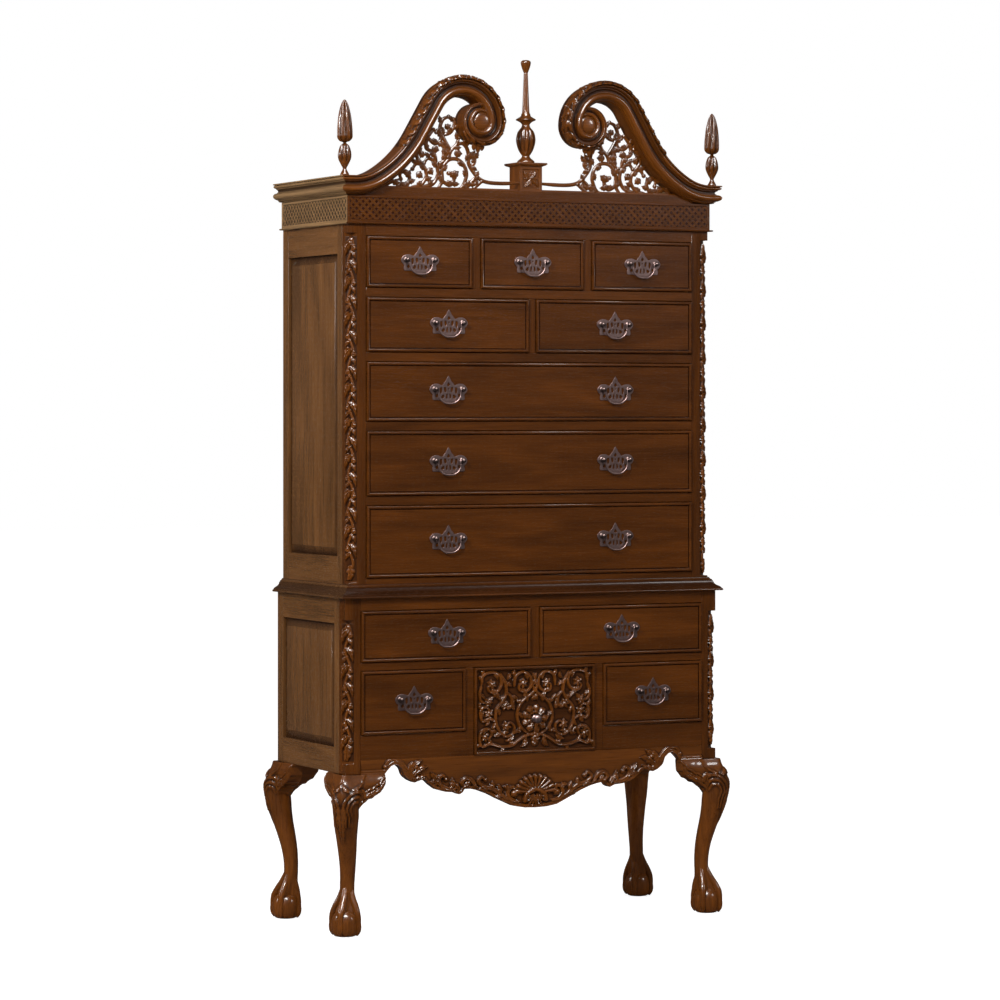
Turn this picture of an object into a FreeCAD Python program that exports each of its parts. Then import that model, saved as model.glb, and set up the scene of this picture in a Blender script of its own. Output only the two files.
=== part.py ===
"""Highboy: a chest of eight drawers standing on a base of five, with a broken
scroll pediment and cabriole legs.  Millimetres.  +Z is up, the fronts face -Y,
and the origin is on the floor under the middle of the base."""
import FreeCAD, Part
import math
import os
import re
import Sketcher
from FreeCAD import Placement, Rotation, Vector

SIZES = {
    # base case
    "base_half": 523.5, "base_depth": 434, "base_bottom": 402, "waist_z": 838,
    "base_stile": 42.4, "base_top_rail": 30.9, "base_rail": 19.5,
    "row6_tall": 126.2, "row7_tall": 157.4, "carved_tall": 218.4, "carved_half": 170.5,
    "row6_muntin": 23.8, "row7_muntin": 21.5,
    # upper case
    "set_in": 15, "upper_stile": 48.5, "bottom_rail": 48.5, "upper_rail": 22.8,
    "row1_tall": 126.3, "row2_tall": 134.8, "row3_tall": 146.8, "row4_tall": 159.8,
    "row5_tall": 178.3, "row1_muntin": 21.4, "row2_muntin": 18.2, "top_rail": 28.5,
    "frieze_tall": 92,
    # carcass stock
    "post_deep": 40, "post_chamfer": 23, "chamfer_stop": 38, "rail_deep": 40,
    "side_thick": 20, "side_stile": 36, "side_front_stile": 30, "panel_thick": 12,
    "panel_set_back": 3, "panel_bevel": 24, "panel_raise": 4, "upper_side_top_rail": 165,
    "upper_side_foot_rail": 102, "base_side_top_rail": 64, "base_side_foot_rail": 64,
    "back_thick": 8, "back_rebate": 3, "board_thick": 18, "dust_thick": 10,
    "runner_tall": 18, "runner_lap": 20, "guide_tall": 22, "guide_play": 1,
    # drawers
    "front_gap": 1.5, "front_thick": 21, "front_proud": 6, "bead_wide": 9, "bead_high": 4,
    "bead_round": 2.5, "drawer_side": 12, "drawer_back": 11, "drawer_bottom": 6,
    "bottom_lift": 10, "side_inset": 2, "side_drop": 8, "back_drop": 20, "rear_space": 10,
    "run_play": 0.3, "carved_bead": 8, "carved_sunk": 9,
    # handles
    "post_span": 77, "post_radius": 4.2, "post_reach": 13, "plate_thick": 2,
    "pin_radius": 1.75, "pin_play": 0.05, "pin_reach": 3, "bore_spare": 0.4,
    "pivot_out": 9, "bail_radius": 2, "bail_drop": 36, "bail_clear": 2.8, "handle_lift": 6,
    "handle_in": 223.5, "knob_radius": 11, "knob_reach": 22, "knob_drop": 24,
    "rosette_radius": 28, "rosette_tall": 5,
    # waist moulding, cornice and frieze strips
    "waist_out": 30, "waist_tall": 34, "cornice_out": 28, "cornice_tall": 47,
    "cornice_rise": 26.8, "frieze_strip": 4, "strip_sunk": 2.5, "strip_edge": 10,
    "bead_strip_out": 11, "bead_strip_tall": 4,
    # scroll pediment
    "scroll_flat": 34, "scroll_r1": 120, "scroll_r2": 269, "scroll_angle_low": 30,
    "scroll_angle_high": 60, "scroll_run": 98, "scroll_r3": 109, "scroll_deep": 36,
    "mitre_spare": 6, "volute_radius": 58, "boss_radius": 22, "volute_proud": 6,
    "fret_thick": 9, "fret_web": 7, "fret_back": 10,
    # plinth and finials
    "plinth_wide": 62, "plinth_tall": 64, "plinth_cap": 82, "cap_tall": 9, "plinth_front": 6,
    "finial_tall": 263, "finial_radius": 25, "corner_finial_tall": 188,
    "corner_finial_radius": 17,
    # legs
    "knee_out": 36, "knee_z": 328, "knee_radius": 36, "ankle_z": 130, "ankle_radius": 19,
    "ankle_in": 42, "foot_in": 27.5, "foot_side": 12, "ball_radius": 36, "claw_radius": 7,
    "leg_block": 58, "block_tall": 40, "ear_long": 105, "ear_tall": 42, "ear_thick": 40, "ear_bulge": 12,
    # apron
    "apron_thick": 22, "apron_drop": 299,
}

DERIVED = {
    "base_front": "-base_depth / 2", "back_y": "base_depth / 2",
    "base_field": "base_half - base_stile", "upper_half": "base_half - set_in",
    "upper_field": "upper_half - upper_stile", "handle_x": "upper_field - handle_in",
    "upper_front": "base_front + set_in",
    "row5_z": "waist_z + bottom_rail + front_gap", "row5_top": "row5_z + row5_tall",
    "rail_pitch": "upper_rail + 2 * front_gap",
    "row4_z": "row5_top + rail_pitch", "row4_top": "row4_z + row4_tall",
    "row3_z": "row4_top + rail_pitch", "row3_top": "row3_z + row3_tall",
    "row2_z": "row3_top + rail_pitch", "row2_top": "row2_z + row2_tall",
    "row1_z": "row2_top + rail_pitch", "row1_top": "row1_z + row1_tall",
    "frieze_z": "row1_top + front_gap + top_rail", "case_top": "frieze_z + frieze_tall",
    "row6_top": "waist_z - base_top_rail - front_gap", "row6_z": "row6_top - row6_tall",
    "row7_top": "row6_z - base_rail - 2 * front_gap", "row7_z": "row7_top - row7_tall",
    "carved_z": "row7_top - carved_tall",
    "row1_wide": "(2 * upper_field - 2 * (row1_muntin + 2 * front_gap)) / 3",
    "row1_inner": "row1_wide / 2", "row1_outer": "upper_field - row1_wide",
    "row2_inner": "row2_muntin / 2 + front_gap", "row6_inner": "row6_muntin / 2 + front_gap",
    "row7_inner": "carved_half + row7_muntin + 2 * front_gap",
    "back_face": "back_y - back_rebate - back_thick",
    "drawer_end": "back_face - rear_space", "knob_z": "(carved_z + row7_top) / 2 - knob_drop",
    "cornice_half": "upper_half + cornice_out", "cornice_z": "case_top + cornice_rise",
    "plinth_y": "upper_front + plinth_front + plinth_wide / 2",
    "plinth_top": "case_top + plinth_tall", "finial_z": "plinth_top + cap_tall",
    "foot_x": "base_half - (foot_in - foot_side) * sqrt(0.5)",
    "foot_y": "base_front + (foot_in + foot_side) * sqrt(0.5)",
}

doc = FreeCAD.newDocument("highboy")
sheet = doc.addObject("Spreadsheet::Sheet", "Dims")
for row, (alias, number) in enumerate(SIZES.items(), 1):
    sheet.set(f"A{row}", alias)
    sheet.set(f"B{row}", str(number))
    sheet.setAlias(f"B{row}", alias)
for row, (alias, formula) in enumerate(DERIVED.items(), 1):
    sheet.set(f"D{row}", alias)
    sheet.set(f"E{row}", "=" + formula)
    sheet.setAlias(f"E{row}", alias)
doc.recompute()


WORD = re.compile(r"[a-z][a-z0-9_]*")


def linked(text):
    """The expression with each size written as a cell of the sheet."""
    return WORD.sub(lambda word: "Dims." + word.group(), str(text))


def val(text):
    """The number that an expression of sizes comes to now."""
    written = WORD.sub(lambda word: f"({float(getattr(sheet, word.group()))!r})", str(text))
    return float(FreeCAD.Units.Quantity(written).Value)


# ---------------------------------------------------------------- small helpers
def plain(name):
    """A name that a document object may have."""
    return name.replace("-", "_")


def box(name, x, y, z):
    """A board from its lowest to its highest corner, each a pair of expressions."""
    board = doc.addObject("Part::Box", plain(name))
    board.Label = name
    for prop, axis, (low, high) in (("Length", "x", x), ("Width", "y", y), ("Height", "z", z)):
        board.setExpression(prop, linked(f"({high}) - ({low})"))
        board.setExpression(f"Placement.Base.{axis}", linked(low))
    return board


def group(name, pieces):
    """Separate solids that share one node."""
    bundle = doc.addObject("Part::Compound", plain(name))
    bundle.Label = name
    bundle.Links = pieces
    return bundle


def mirrored(name, source, normal, base=(0, 0, 0)):
    twin = doc.addObject("Part::Mirroring", plain(name))
    twin.Label = name
    twin.Source = source
    twin.Normal = Vector(*normal)
    twin.Base = Vector(*base)
    return twin


def body(name):
    solid = doc.addObject("PartDesign::Body", plain(name))
    solid.Label = name
    return solid


def origin_plane(solid, role):
    return next(feature for feature in solid.Origin.OriginFeatures if feature.Role == role)


def sketch(solid, name, role, offset="0"):
    """A sketch on one of the body's own planes, moved along the plane's normal."""
    drawing = solid.newObject("Sketcher::SketchObject", plain(name))
    drawing.AttachmentSupport = (origin_plane(solid, role), "")
    drawing.MapMode = "FlatFace"
    drawing.setExpression("AttachmentOffset.Base.z", linked(offset))
    return drawing


def rectangle(drawing, x, y):
    """A rectangle whose four sides are bound to expressions."""
    corners = [(val(x[0]), val(y[0])), (val(x[1]), val(y[0])),
               (val(x[1]), val(y[1])), (val(x[0]), val(y[1]))]
    first = len(drawing.Geometry)
    for start, end in zip(corners, corners[1:] + corners[:1]):
        drawing.addGeometry(Part.LineSegment(Vector(*start, 0), Vector(*end, 0)))
    for step in range(4):
        after = first + (step + 1) % 4
        drawing.addConstraint(Sketcher.Constraint("Coincident", first + step, 2, after, 1))
    for step, kind in enumerate(("Horizontal", "Vertical", "Horizontal", "Vertical")):
        drawing.addConstraint(Sketcher.Constraint(kind, first + step))
    for kind, point, pair in (("DistanceX", 1, x), ("DistanceY", 1, y)):
        for vertex, text in ((first, pair[0]), (first + 2, pair[1])):
            number = drawing.addConstraint(
                Sketcher.Constraint(kind, -1, 1, vertex, point, val(text)))
            drawing.setExpression(f"Constraints[{number}]", linked(text))
    return drawing


def outline(drawing, edges):
    """A closed outline of lines and three-point arcs, each point an (x, y) pair."""
    for points in edges:
        spots = [Vector(x, y, 0) for x, y in points]
        if len(spots) == 2:
            drawing.addGeometry(Part.LineSegment(*spots))
        else:
            drawing.addGeometry(Part.Arc(*spots))
    return drawing


def polygon(points):
    """Edges round a closed list of corners."""
    return list(zip(points, points[1:] + points[:1]))


def ring(x, y, radius, sides):
    """Corners of a regular polygon with one side facing +X."""
    turns = [(step + 0.5) * 2 * math.pi / sides for step in range(sides)]
    return [(x + radius * math.cos(turn), y + radius * math.sin(turn)) for turn in turns]


def shifted(points, x, y):
    return [(a + x, b + y) for a, b in points]


def in_flats(name, sections, sides):
    """A tall form worked in flats, from sections given as (height, radius) and, where one
    stands off the form's own axis, the X and Y of its middle."""
    rings = []
    for z, radius, *middle in sections:
        across, deep = middle or (0, 0)
        rings.append([Vector(x, y, z) for x, y in shifted(ring(0, 0, radius, sides), across, deep)])
    faces = [Part.Face(Part.makePolygon(rim + rim[:1])) for rim in (rings[0], rings[-1])]
    for low, high in zip(rings, rings[1:]):
        for step in range(sides):
            after = (step + 1) % sides
            flat = [low[step], low[after], high[after], high[step], low[step]]
            faces.append(Part.Face(Part.makePolygon(flat)))
    solid = Part.makeSolid(Part.makeShell(faces))
    if solid.Volume < 0:
        solid.reverse()
    piece = doc.addObject("Part::Feature", plain(name))
    piece.Label = name
    piece.Shape = solid
    return piece


def pad(solid, drawing, length, reverse=False):
    feature = solid.newObject("PartDesign::Pad", drawing.Name + "_pad")
    feature.Profile = drawing
    feature.setExpression("Length", linked(length))
    feature.Reversed = reverse
    return feature


def pocket(solid, drawing, depth, reverse=False):
    feature = solid.newObject("PartDesign::Pocket", drawing.Name + "_pocket")
    feature.Profile = drawing
    feature.setExpression("Length", linked(depth))
    feature.Reversed = reverse
    return feature


def turned(solid, drawing, axis="V_Axis"):
    feature = solid.newObject("PartDesign::Revolution", drawing.Name + "_turned")
    feature.Profile = drawing
    feature.ReferenceAxis = (drawing, [axis])
    feature.Angle = 360
    return feature


def edges_where(feature, test):
    """Names of the feature's edges whose ends pass the test."""
    names = []
    for number, edge in enumerate(feature.Shape.Edges, 1):
        if all(test(vertex.Point) for vertex in edge.Vertexes):
            names.append(f"Edge{number}")
    return names


def dress(solid, kind, feature, names, size):
    """A fillet or a chamfer on the named edges."""
    finish = solid.newObject("PartDesign::" + kind, feature.Name + "_" + kind.lower())
    finish.Base = (feature, names)
    finish.setExpression("Radius" if kind == "Fillet" else "Size", linked(size))
    return finish


def placed(solid, x="0", y="0", z="0", turn=0):
    solid.Placement = Placement(Vector(), Rotation(Vector(0, 0, 1), turn))
    for axis, text in (("x", x), ("y", y), ("z", z)):
        solid.setExpression(f"Placement.Base.{axis}", linked(text))
    return solid


nodes = []


def node(piece):
    nodes.append(piece)
    return piece


def both(name, x, y, z):
    """A board and its twin on the other side of the middle."""
    low, high = x
    return [box(name + "_right", (low, high), y, z),
            box(name + "_left", (f"-({high})", f"-({low})"), y, z)]


# ---------------------------------------------------------------- drawers
def drawer_front(name, x, z, face, rim, sunk):
    """A front board with a raised bead round its edge and a sunk field."""
    solid = body(name)
    board = rectangle(sketch(solid, name + "_board", "XZ_Plane", f"-({face})"), x, z)
    pad(solid, board, "front_thick", reverse=True)
    inner_x = (f"{x[0]} + {rim}", f"{x[1]} - {rim}")
    inner_z = (f"{z[0]} + {rim}", f"{z[1]} - {rim}")
    field = rectangle(sketch(solid, name + "_field", "XZ_Plane", f"-({face})"), inner_x, inner_z)
    floor = pocket(solid, field, sunk)
    doc.recompute()
    front = val(face)
    low_x, high_x = val(x[0]), val(x[1])
    low_z, high_z = val(z[0]), val(z[1])

    def on_rim(point):
        at_side = min(abs(point.x - low_x), abs(point.x - high_x)) < 0.01
        at_end = min(abs(point.z - low_z), abs(point.z - high_z)) < 0.01
        return abs(point.y - front) < 0.01 and at_side and at_end

    dress(solid, "Fillet", floor, edges_where(floor, on_rim), "bead_round")
    return solid


def drawer(name, x, z, case_front, rim="bead_wide", sunk="bead_high"):
    """A whole drawer: front, two sides, back and bottom, all separate boards."""
    low_x, high_x = x
    low_z, high_z = z
    face = f"{case_front} - front_proud"
    rear = f"{face} + front_thick"
    outer = (f"{low_x} + side_inset", f"{high_x} - side_inset")
    inner = (f"{outer[0]} + drawer_side", f"{outer[1]} - drawer_side")
    foot = f"{low_z} - front_gap + run_play"
    pieces = [drawer_front(name + "_front", x, z, face, rim, sunk)]
    run = (rear, "drawer_end")
    tall = (foot, f"{high_z} - side_drop")
    pieces.append(box(name + "_side_a", (outer[0], inner[0]), run, tall))
    pieces.append(box(name + "_side_b", (inner[1], outer[1]), run, tall))
    bottom_z = (f"{low_z} + bottom_lift", f"{low_z} + bottom_lift + drawer_bottom")
    pieces.append(box(name + "_back", inner, ("drawer_end - drawer_back", "drawer_end"),
                      (bottom_z[1], f"{high_z} - back_drop")))
    pieces.append(box(name + "_bottom", inner, run, bottom_z))
    return node(group(name, pieces))


def rosette(front):
    """A round boss on the sunk field, for the knob to stand on."""
    floor = "front_proud - carved_sunk - base_front"
    drawing = sketch(front, "rosette", "XZ_Plane", floor)
    disc = drawing.addGeometry(Part.Circle(Vector(0, val("knob_z"), 0), Vector(0, 0, 1),
                                           val("rosette_radius")))
    for kind, last, text in (("Radius", (), "rosette_radius"), ("DistanceY", (3,), "knob_z")):
        first = (disc,) if kind == "Radius" else (-1, 1, disc)
        number = drawing.addConstraint(Sketcher.Constraint(kind, *first, *last, val(text)))
        drawing.setExpression(f"Constraints[{number}]", linked(text))
    drawing.addConstraint(Sketcher.Constraint("PointOnObject", disc, 3, -2))
    return pad(front, drawing, "rosette_tall")


def row(number):
    return (f"row{number}_z", f"row{number}_top")


CARVED = "carved_centre_drawer"
DRAWERS = {
    "top_left_drawer": (("-upper_field", "-row1_outer"), row(1), "upper_front"),
    "top_centre_drawer": (("-row1_inner", "row1_inner"), row(1), "upper_front"),
    "top_right_drawer": (("row1_outer", "upper_field"), row(1), "upper_front"),
    "second_left_drawer": (("-upper_field", "-row2_inner"), row(2), "upper_front"),
    "second_right_drawer": (("row2_inner", "upper_field"), row(2), "upper_front"),
    "third_long_drawer": (("-upper_field", "upper_field"), row(3), "upper_front"),
    "fourth_long_drawer": (("-upper_field", "upper_field"), row(4), "upper_front"),
    "fifth_long_drawer": (("-upper_field", "upper_field"), row(5), "upper_front"),
    "base_left_drawer": (("-base_field", "-row6_inner"), row(6), "base_front"),
    "base_right_drawer": (("row6_inner", "base_field"), row(6), "base_front"),
    "base_small_left_drawer": (("-base_field", "-row7_inner"), row(7), "base_front"),
    "base_small_right_drawer": (("row7_inner", "base_field"), row(7), "base_front"),
    CARVED: (("-carved_half", "carved_half"), ("carved_z", "row7_top"), "base_front"),
}
for name, (x, z, case_front) in DRAWERS.items():
    if name == CARVED:
        bundle = drawer(name, x, z, case_front, "carved_bead", "carved_sunk")
        rosette(bundle.Links[0])
    else:
        drawer(name, x, z, case_front)


# ---------------------------------------------------------------- handles
PIN_SIDES = 6


def plate_outline():
    """Right half of the bat-wing back plate, from its peak round to the foot of its middle."""
    reach = val("post_span / 2")
    shares = [(0, 0.8), (0.15, 0.46), (0.48, 0.14), (1.02, 0.34), (1.34, 0.02),
              (1.1, -0.4), (1.3, -0.68), (1.14, -0.82), (0.8, -0.78), (0.6, -0.7),
              (0, -0.88)]
    return [(x * reach, z * reach) for x, z in shares]


def plate_holes():
    """Openings in the right half of the plate, as closed polygons."""
    reach = val("post_span / 2")
    wing = [(0.16, 0.06), (0.42, 0.02), (0.56, -0.2), (0.26, -0.28)]
    foot = [(0.14, -0.44), (0.58, -0.42), (0.24, -0.7)]
    return [[(x * reach, y * reach) for x, y in shape] for shape in (wing, foot)]


def flipped(points):
    """The same points on the other side of the middle."""
    return [(-x, z) for x, z in points]


def back_plate(name, x, z, face):
    """A pierced back plate with two six-sided posts, each socketed for the bail's pin."""
    solid = body(name)
    right = plate_outline()
    left = flipped(right[-2:0:-1])
    drawing = outline(sketch(solid, name + "_plate", "XZ_Plane"), polygon(right + left))
    for hole in plate_holes():
        outline(drawing, polygon(hole))
        outline(drawing, polygon(flipped(hole)))
    pad(solid, drawing, "plate_thick")
    posts = sketch(solid, name + "_posts", "XZ_Plane")
    corner_radius = val("post_radius") / math.cos(math.pi / 6)
    for side in (-1, 1):
        outline(posts, polygon(ring(side * val("post_span / 2"), 0, corner_radius, 6)))
    pad(solid, posts, "post_reach")
    for side, word in ((1, "right"), (-1, "left")):
        inner = f"{side} * (post_span / 2 - post_radius)"
        bore = sketch(solid, f"{name}_{word}_bore", "YZ_Plane", inner)
        clear = val("pin_radius + pin_play") / math.cos(math.pi / PIN_SIDES)
        outline(bore, polygon(ring(-val("pivot_out"), 0, clear, PIN_SIDES)))
        pocket(solid, bore, "pin_reach + bore_spare", reverse=side > 0)
    return placed(solid, x, face, z)


def bail(name, x, z, face):
    """A swan-neck bail hanging straight down, with a pin at each end."""
    solid = body(name)
    inside = val("post_span / 2 - post_radius - bail_clear")
    drop = val("bail_drop")
    stock = val("bail_radius")
    arm = [(inside, stock), (inside, -drop * 0.35), (inside * 0.84, -drop * 0.72),
           (inside * 0.45, -drop)]
    path = sketch(solid, name + "_path", "XZ_Plane")
    route = arm + flipped(reversed(arm))
    outline(path, list(zip(route, route[1:])))
    section = sketch(solid, name + "_section", "XY_Plane", "bail_radius")
    outline(section, polygon(ring(inside, 0, stock, 6)))
    rod = solid.newObject("PartDesign::AdditivePipe", name + "_rod")
    rod.Profile = section
    rod.Spine = (path, [f"Edge{number}" for number in range(1, len(route))])
    rod.Transition = 1
    for side, word in ((1, "right"), (-1, "left")):
        start = f"{side} * (post_span / 2 - post_radius - bail_clear)"
        pin = sketch(solid, f"{name}_{word}_pin", "YZ_Plane", start)
        outline(pin, polygon(ring(0, 0, val("pin_radius"), PIN_SIDES)))
        pad(solid, pin, "bail_clear + pin_reach", reverse=side < 0)
    return placed(solid, x, f"{face} - pivot_out", z)


def handles(name, spots, row_z, row_top, case_front):
    """The back plates of one drawer in one node, and each bail in a node of its own."""
    face = f"{case_front} - front_proud + bead_high"
    middle = f"({row_z} + {row_top}) / 2 + handle_lift"
    plates = []
    for word, x in spots.items():
        plates.append(back_plate(f"{name}_{word}plate", x, middle, face))
        node(bail(f"{name}_{word}bail", x, middle, face))
    node(group(f"{name}_plates", plates))


TWO = {"left_": "-handle_x", "right_": "handle_x"}
for name, ((low, high), (row_z, row_top), case_front) in DRAWERS.items():
    if name == CARVED:
        continue
    spots = TWO if "long" in name else {"": f"({low} + {high}) / 2"}
    handles(name, spots, row_z, row_top, case_front)


def knob():
    """A small knob, standing out of the rosette of the carved drawer."""
    reach = val("knob_reach")
    wide = val("knob_radius")
    shares = [(0, 0.75), (0.12, 0.75), (0.3, 0.42), (0.45, 0.42), (0.65, 0.95), (0.85, 0.95),
              (1, 0.4)]
    solid = in_flats("carved_drawer_knob", [(z * reach, r * wide) for z, r in shares], 12)
    seat = val("base_front - front_proud + carved_sunk - rosette_tall")
    solid.Placement = Placement(Vector(0, seat, val("knob_z")), Rotation(Vector(1, 0, 0), 90))
    return node(solid)


knob()


# ---------------------------------------------------------------- carcass
def corner_post(name, half, field, front, foot, head, stop_low, stop_high):
    """The right-hand front post, with its outer corner cut back between two stops."""
    solid = body(name)
    block = rectangle(sketch(solid, name + "_block", "XY_Plane", foot),
                      (f"{field} + front_gap", half), (front, f"{front} + post_deep"))
    pad(solid, block, f"{head} - ({foot})")
    corner = (val(half), val(front))
    leg = val("post_chamfer")
    arris = sketch(solid, name + "_arris", "XY_Plane", stop_low)
    outline(arris, polygon([corner, (corner[0], corner[1] + leg), (corner[0] - leg, corner[1])]))
    pocket(solid, arris, f"{stop_high} - ({stop_low})", reverse=True)
    return [solid, mirrored(name + "_twin", solid, (1, 0, 0))]


posts = corner_post("upper_post", "upper_half", "upper_field", "upper_front", "waist_z",
                    "case_top", "waist_z + chamfer_stop", "frieze_z - 0.6 * chamfer_stop")
posts += corner_post("base_post", "base_half", "base_field", "base_front", "base_bottom",
                     "waist_z", "base_bottom + 0.7 * chamfer_stop",
                     "waist_z - 1.4 * chamfer_stop")
node(group("corner_posts", posts))


def side_panel(name, face, y, z):
    """A raised and fielded panel on the right-hand side."""
    solid = body(name)
    back = rectangle(sketch(solid, name + "_edge", "YZ_Plane", f"{face} - panel_raise"), y, z)
    pad(solid, back, "panel_thick - panel_raise", reverse=True)
    inset_y = (f"{y[0]} + panel_bevel", f"{y[1]} - panel_bevel")
    inset_z = (f"{z[0]} + panel_bevel", f"{z[1]} - panel_bevel")
    field = rectangle(sketch(solid, name + "_field", "YZ_Plane", face), inset_y, inset_z)
    bevel = solid.newObject("PartDesign::AdditiveLoft", name + "_bevel")
    bevel.Profile = back
    bevel.Sections = [field]
    bevel.Ruled = True
    return [solid, mirrored(name + "_twin", solid, (1, 0, 0))]


def case_side(name, half, front, foot, head, foot_rail, top_rail):
    """Stiles, rails and a panel for both sides of one case."""
    x = (f"{half} - side_thick", half)
    start = f"{front} + post_deep"
    inner_y = (f"{start} + side_front_stile", "back_y - side_stile")
    inner_z = (f"{foot} + {foot_rail}", f"{head} - {top_rail}")
    boards = both(name + "_front_stile", x, (start, inner_y[0]), (foot, head))
    boards += both(name + "_back_stile", x, (inner_y[1], "back_y"), (foot, head))
    boards += both(name + "_foot_rail", x, inner_y, (foot, inner_z[0]))
    boards += both(name + "_head_rail", x, inner_y, (inner_z[1], head))
    boards += side_panel(name + "_panel", f"{half} - panel_set_back", inner_y, inner_z)
    return node(group(name, boards))


case_side("upper_case_sides", "upper_half", "upper_front", "waist_z", "case_top",
          "upper_side_foot_rail", "upper_side_top_rail")
case_side("base_case_sides", "base_half", "base_front", "base_bottom", "waist_z",
          "base_side_foot_rail", "base_side_top_rail")


def upper_face_frame():
    across = ("-(upper_field + front_gap)", "upper_field + front_gap")
    deep = ("upper_front", "upper_front + rail_deep")
    boards = [box("upper_bottom_rail", across, deep, ("waist_z", "row5_z - front_gap")),
              box("upper_top_rail", across, deep, ("row1_top + front_gap", "frieze_z"))]
    for below in (5, 4, 3, 2):
        boards.append(box(f"rail_over_row{below}", across, deep,
                          (f"row{below}_top + front_gap", f"row{below - 1}_z - front_gap")))
    boards += both("row1_muntin_post", ("row1_inner + front_gap", "row1_outer - front_gap"),
                   deep, ("row1_z - front_gap", "row1_top + front_gap"))
    boards.append(box("row2_muntin_post", ("-row2_muntin / 2", "row2_muntin / 2"),
                      deep, ("row2_z - front_gap", "row2_top + front_gap")))
    return node(group("upper_face_frame", boards))


def base_face_frame():
    across = ("-(base_field + front_gap)", "base_field + front_gap")
    deep = ("base_front", "base_front + rail_deep")
    boards = [box("base_head_rail", across, deep, ("row6_top + front_gap", "waist_z")),
              box("rail_over_row7", across, deep, ("row7_top + front_gap", "row6_z - front_gap")),
              box("row6_muntin_post", ("-row6_muntin / 2", "row6_muntin / 2"),
                  deep, ("row6_z - front_gap", "row6_top + front_gap"))]
    boards += both("row7_muntin_post", ("carved_half + front_gap", "row7_inner - front_gap"),
                   deep, ("carved_z - front_gap", "row7_top + front_gap"))
    boards += both("rail_under_row7", ("row7_inner - front_gap", "base_field + front_gap"),
                   deep, ("carved_z - front_gap", "row7_z - front_gap"))
    return node(group("base_face_frame", boards))


def apron():
    """The shaped board under the carved drawer, hanging lowest in the middle."""
    solid = body("apron")
    end = val("base_field + front_gap")
    foot = val("base_bottom")
    head = val("carved_z - front_gap")
    half = val("base_half - ear_long")
    rise = foot - val("apron_drop")

    def at(*shares):
        """Points given as shares of the half width and of the drop under the case."""
        return tuple((half * x, foot - rise * z) for x, z in shares)

    lobes = [((end, head), (end, foot)), ((end, foot), (half, foot)),
             at((1, 0), (0.936, -0.21), (0.87, 0.04)), at((0.87, 0.04), (0.804, 0.25)),
             at((0.804, 0.25), (0.766, 0.19), (0.728, 0.21)),
             at((0.728, 0.21), (0.646, 0.46), (0.536, 0.54)), at((0.536, 0.54), (0.474, 0.47)),
             at((0.474, 0.47), (0.35, 0.53), (0.245, 0.74)), at((0.245, 0.74), (0.14, 0.93), (0, 1))]
    left = [tuple((-x, z) for x, z in reversed(edge)) for edge in reversed(lobes)]
    drawing = sketch(solid, "apron_outline", "XZ_Plane", "-base_front")
    outline(drawing, lobes + left + [((-end, head), (end, head))])
    pad(solid, drawing, "apron_thick", reverse=True)
    return node(solid)


upper_face_frame()
base_face_frame()
apron()


def runners(name, edge, wall, floor, deep):
    """Strips that carry a drawer's side, each with a guide that keeps it straight.
    edge is the opening's edge and wall what the strip is fixed to beyond it."""
    strip = both(name + "_runner", (f"{edge} - runner_lap", wall), deep,
                 (f"{floor} - front_gap - runner_tall", f"{floor} - front_gap"))
    guide = both(name + "_guide", (f"{edge} - side_inset + guide_play", wall), deep,
                 (f"{floor} - front_gap", f"{floor} - front_gap + guide_tall"))
    return strip + guide


def middle_runner(name, inner, outer, deep, floor):
    """A strip and guide shared by two neighbours; inner and outer are the fronts' edges."""
    strip = (f"{inner} - runner_lap", f"{outer} + runner_lap")
    guide = (f"{inner} - side_inset + guide_play", f"{outer} + side_inset - guide_play")
    low = f"{floor} - front_gap"
    return [(name + "_runner", strip, deep, (f"{low} - runner_tall", low)),
            (name + "_guide", guide, deep, (low, f"{low} + guide_tall"))]


def drawer_runners():
    upper = ("upper_front + rail_deep", "back_face")
    base = ("base_front + rail_deep", "back_face")
    boards = []
    for number in range(1, 6):
        boards += runners(f"row{number}", "upper_field", "upper_half - side_thick",
                          f"row{number}_z", upper)
    for number in (6, 7):
        boards += runners(f"row{number}", "base_field", "base_half - side_thick",
                          f"row{number}_z", base)
    for piece in middle_runner("row1_middle", "row1_inner", "row1_outer", upper, "row1_z"):
        boards += both(*piece)
    for piece in middle_runner("row2_middle", "-row2_inner", "row2_inner", upper, "row2_z"):
        boards.append(box(*piece))
    for piece in middle_runner("row6_middle", "-row6_inner", "row6_inner", base, "row6_z"):
        boards.append(box(*piece))
    low = "row7_z - front_gap"
    inner = ("carved_half + front_gap", "row7_inner + runner_lap")
    boards += both("row7_inner_runner", inner, base, (f"{low} - runner_tall", low))
    boards += both("row7_inner_guide", (inner[0], "row7_inner + side_inset - guide_play"),
                   base, (low, f"{low} + guide_tall"))
    boards += runners("carved", "carved_half", "row7_inner", "carved_z", base)
    return node(group("drawer_runners", boards))


drawer_runners()

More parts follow.
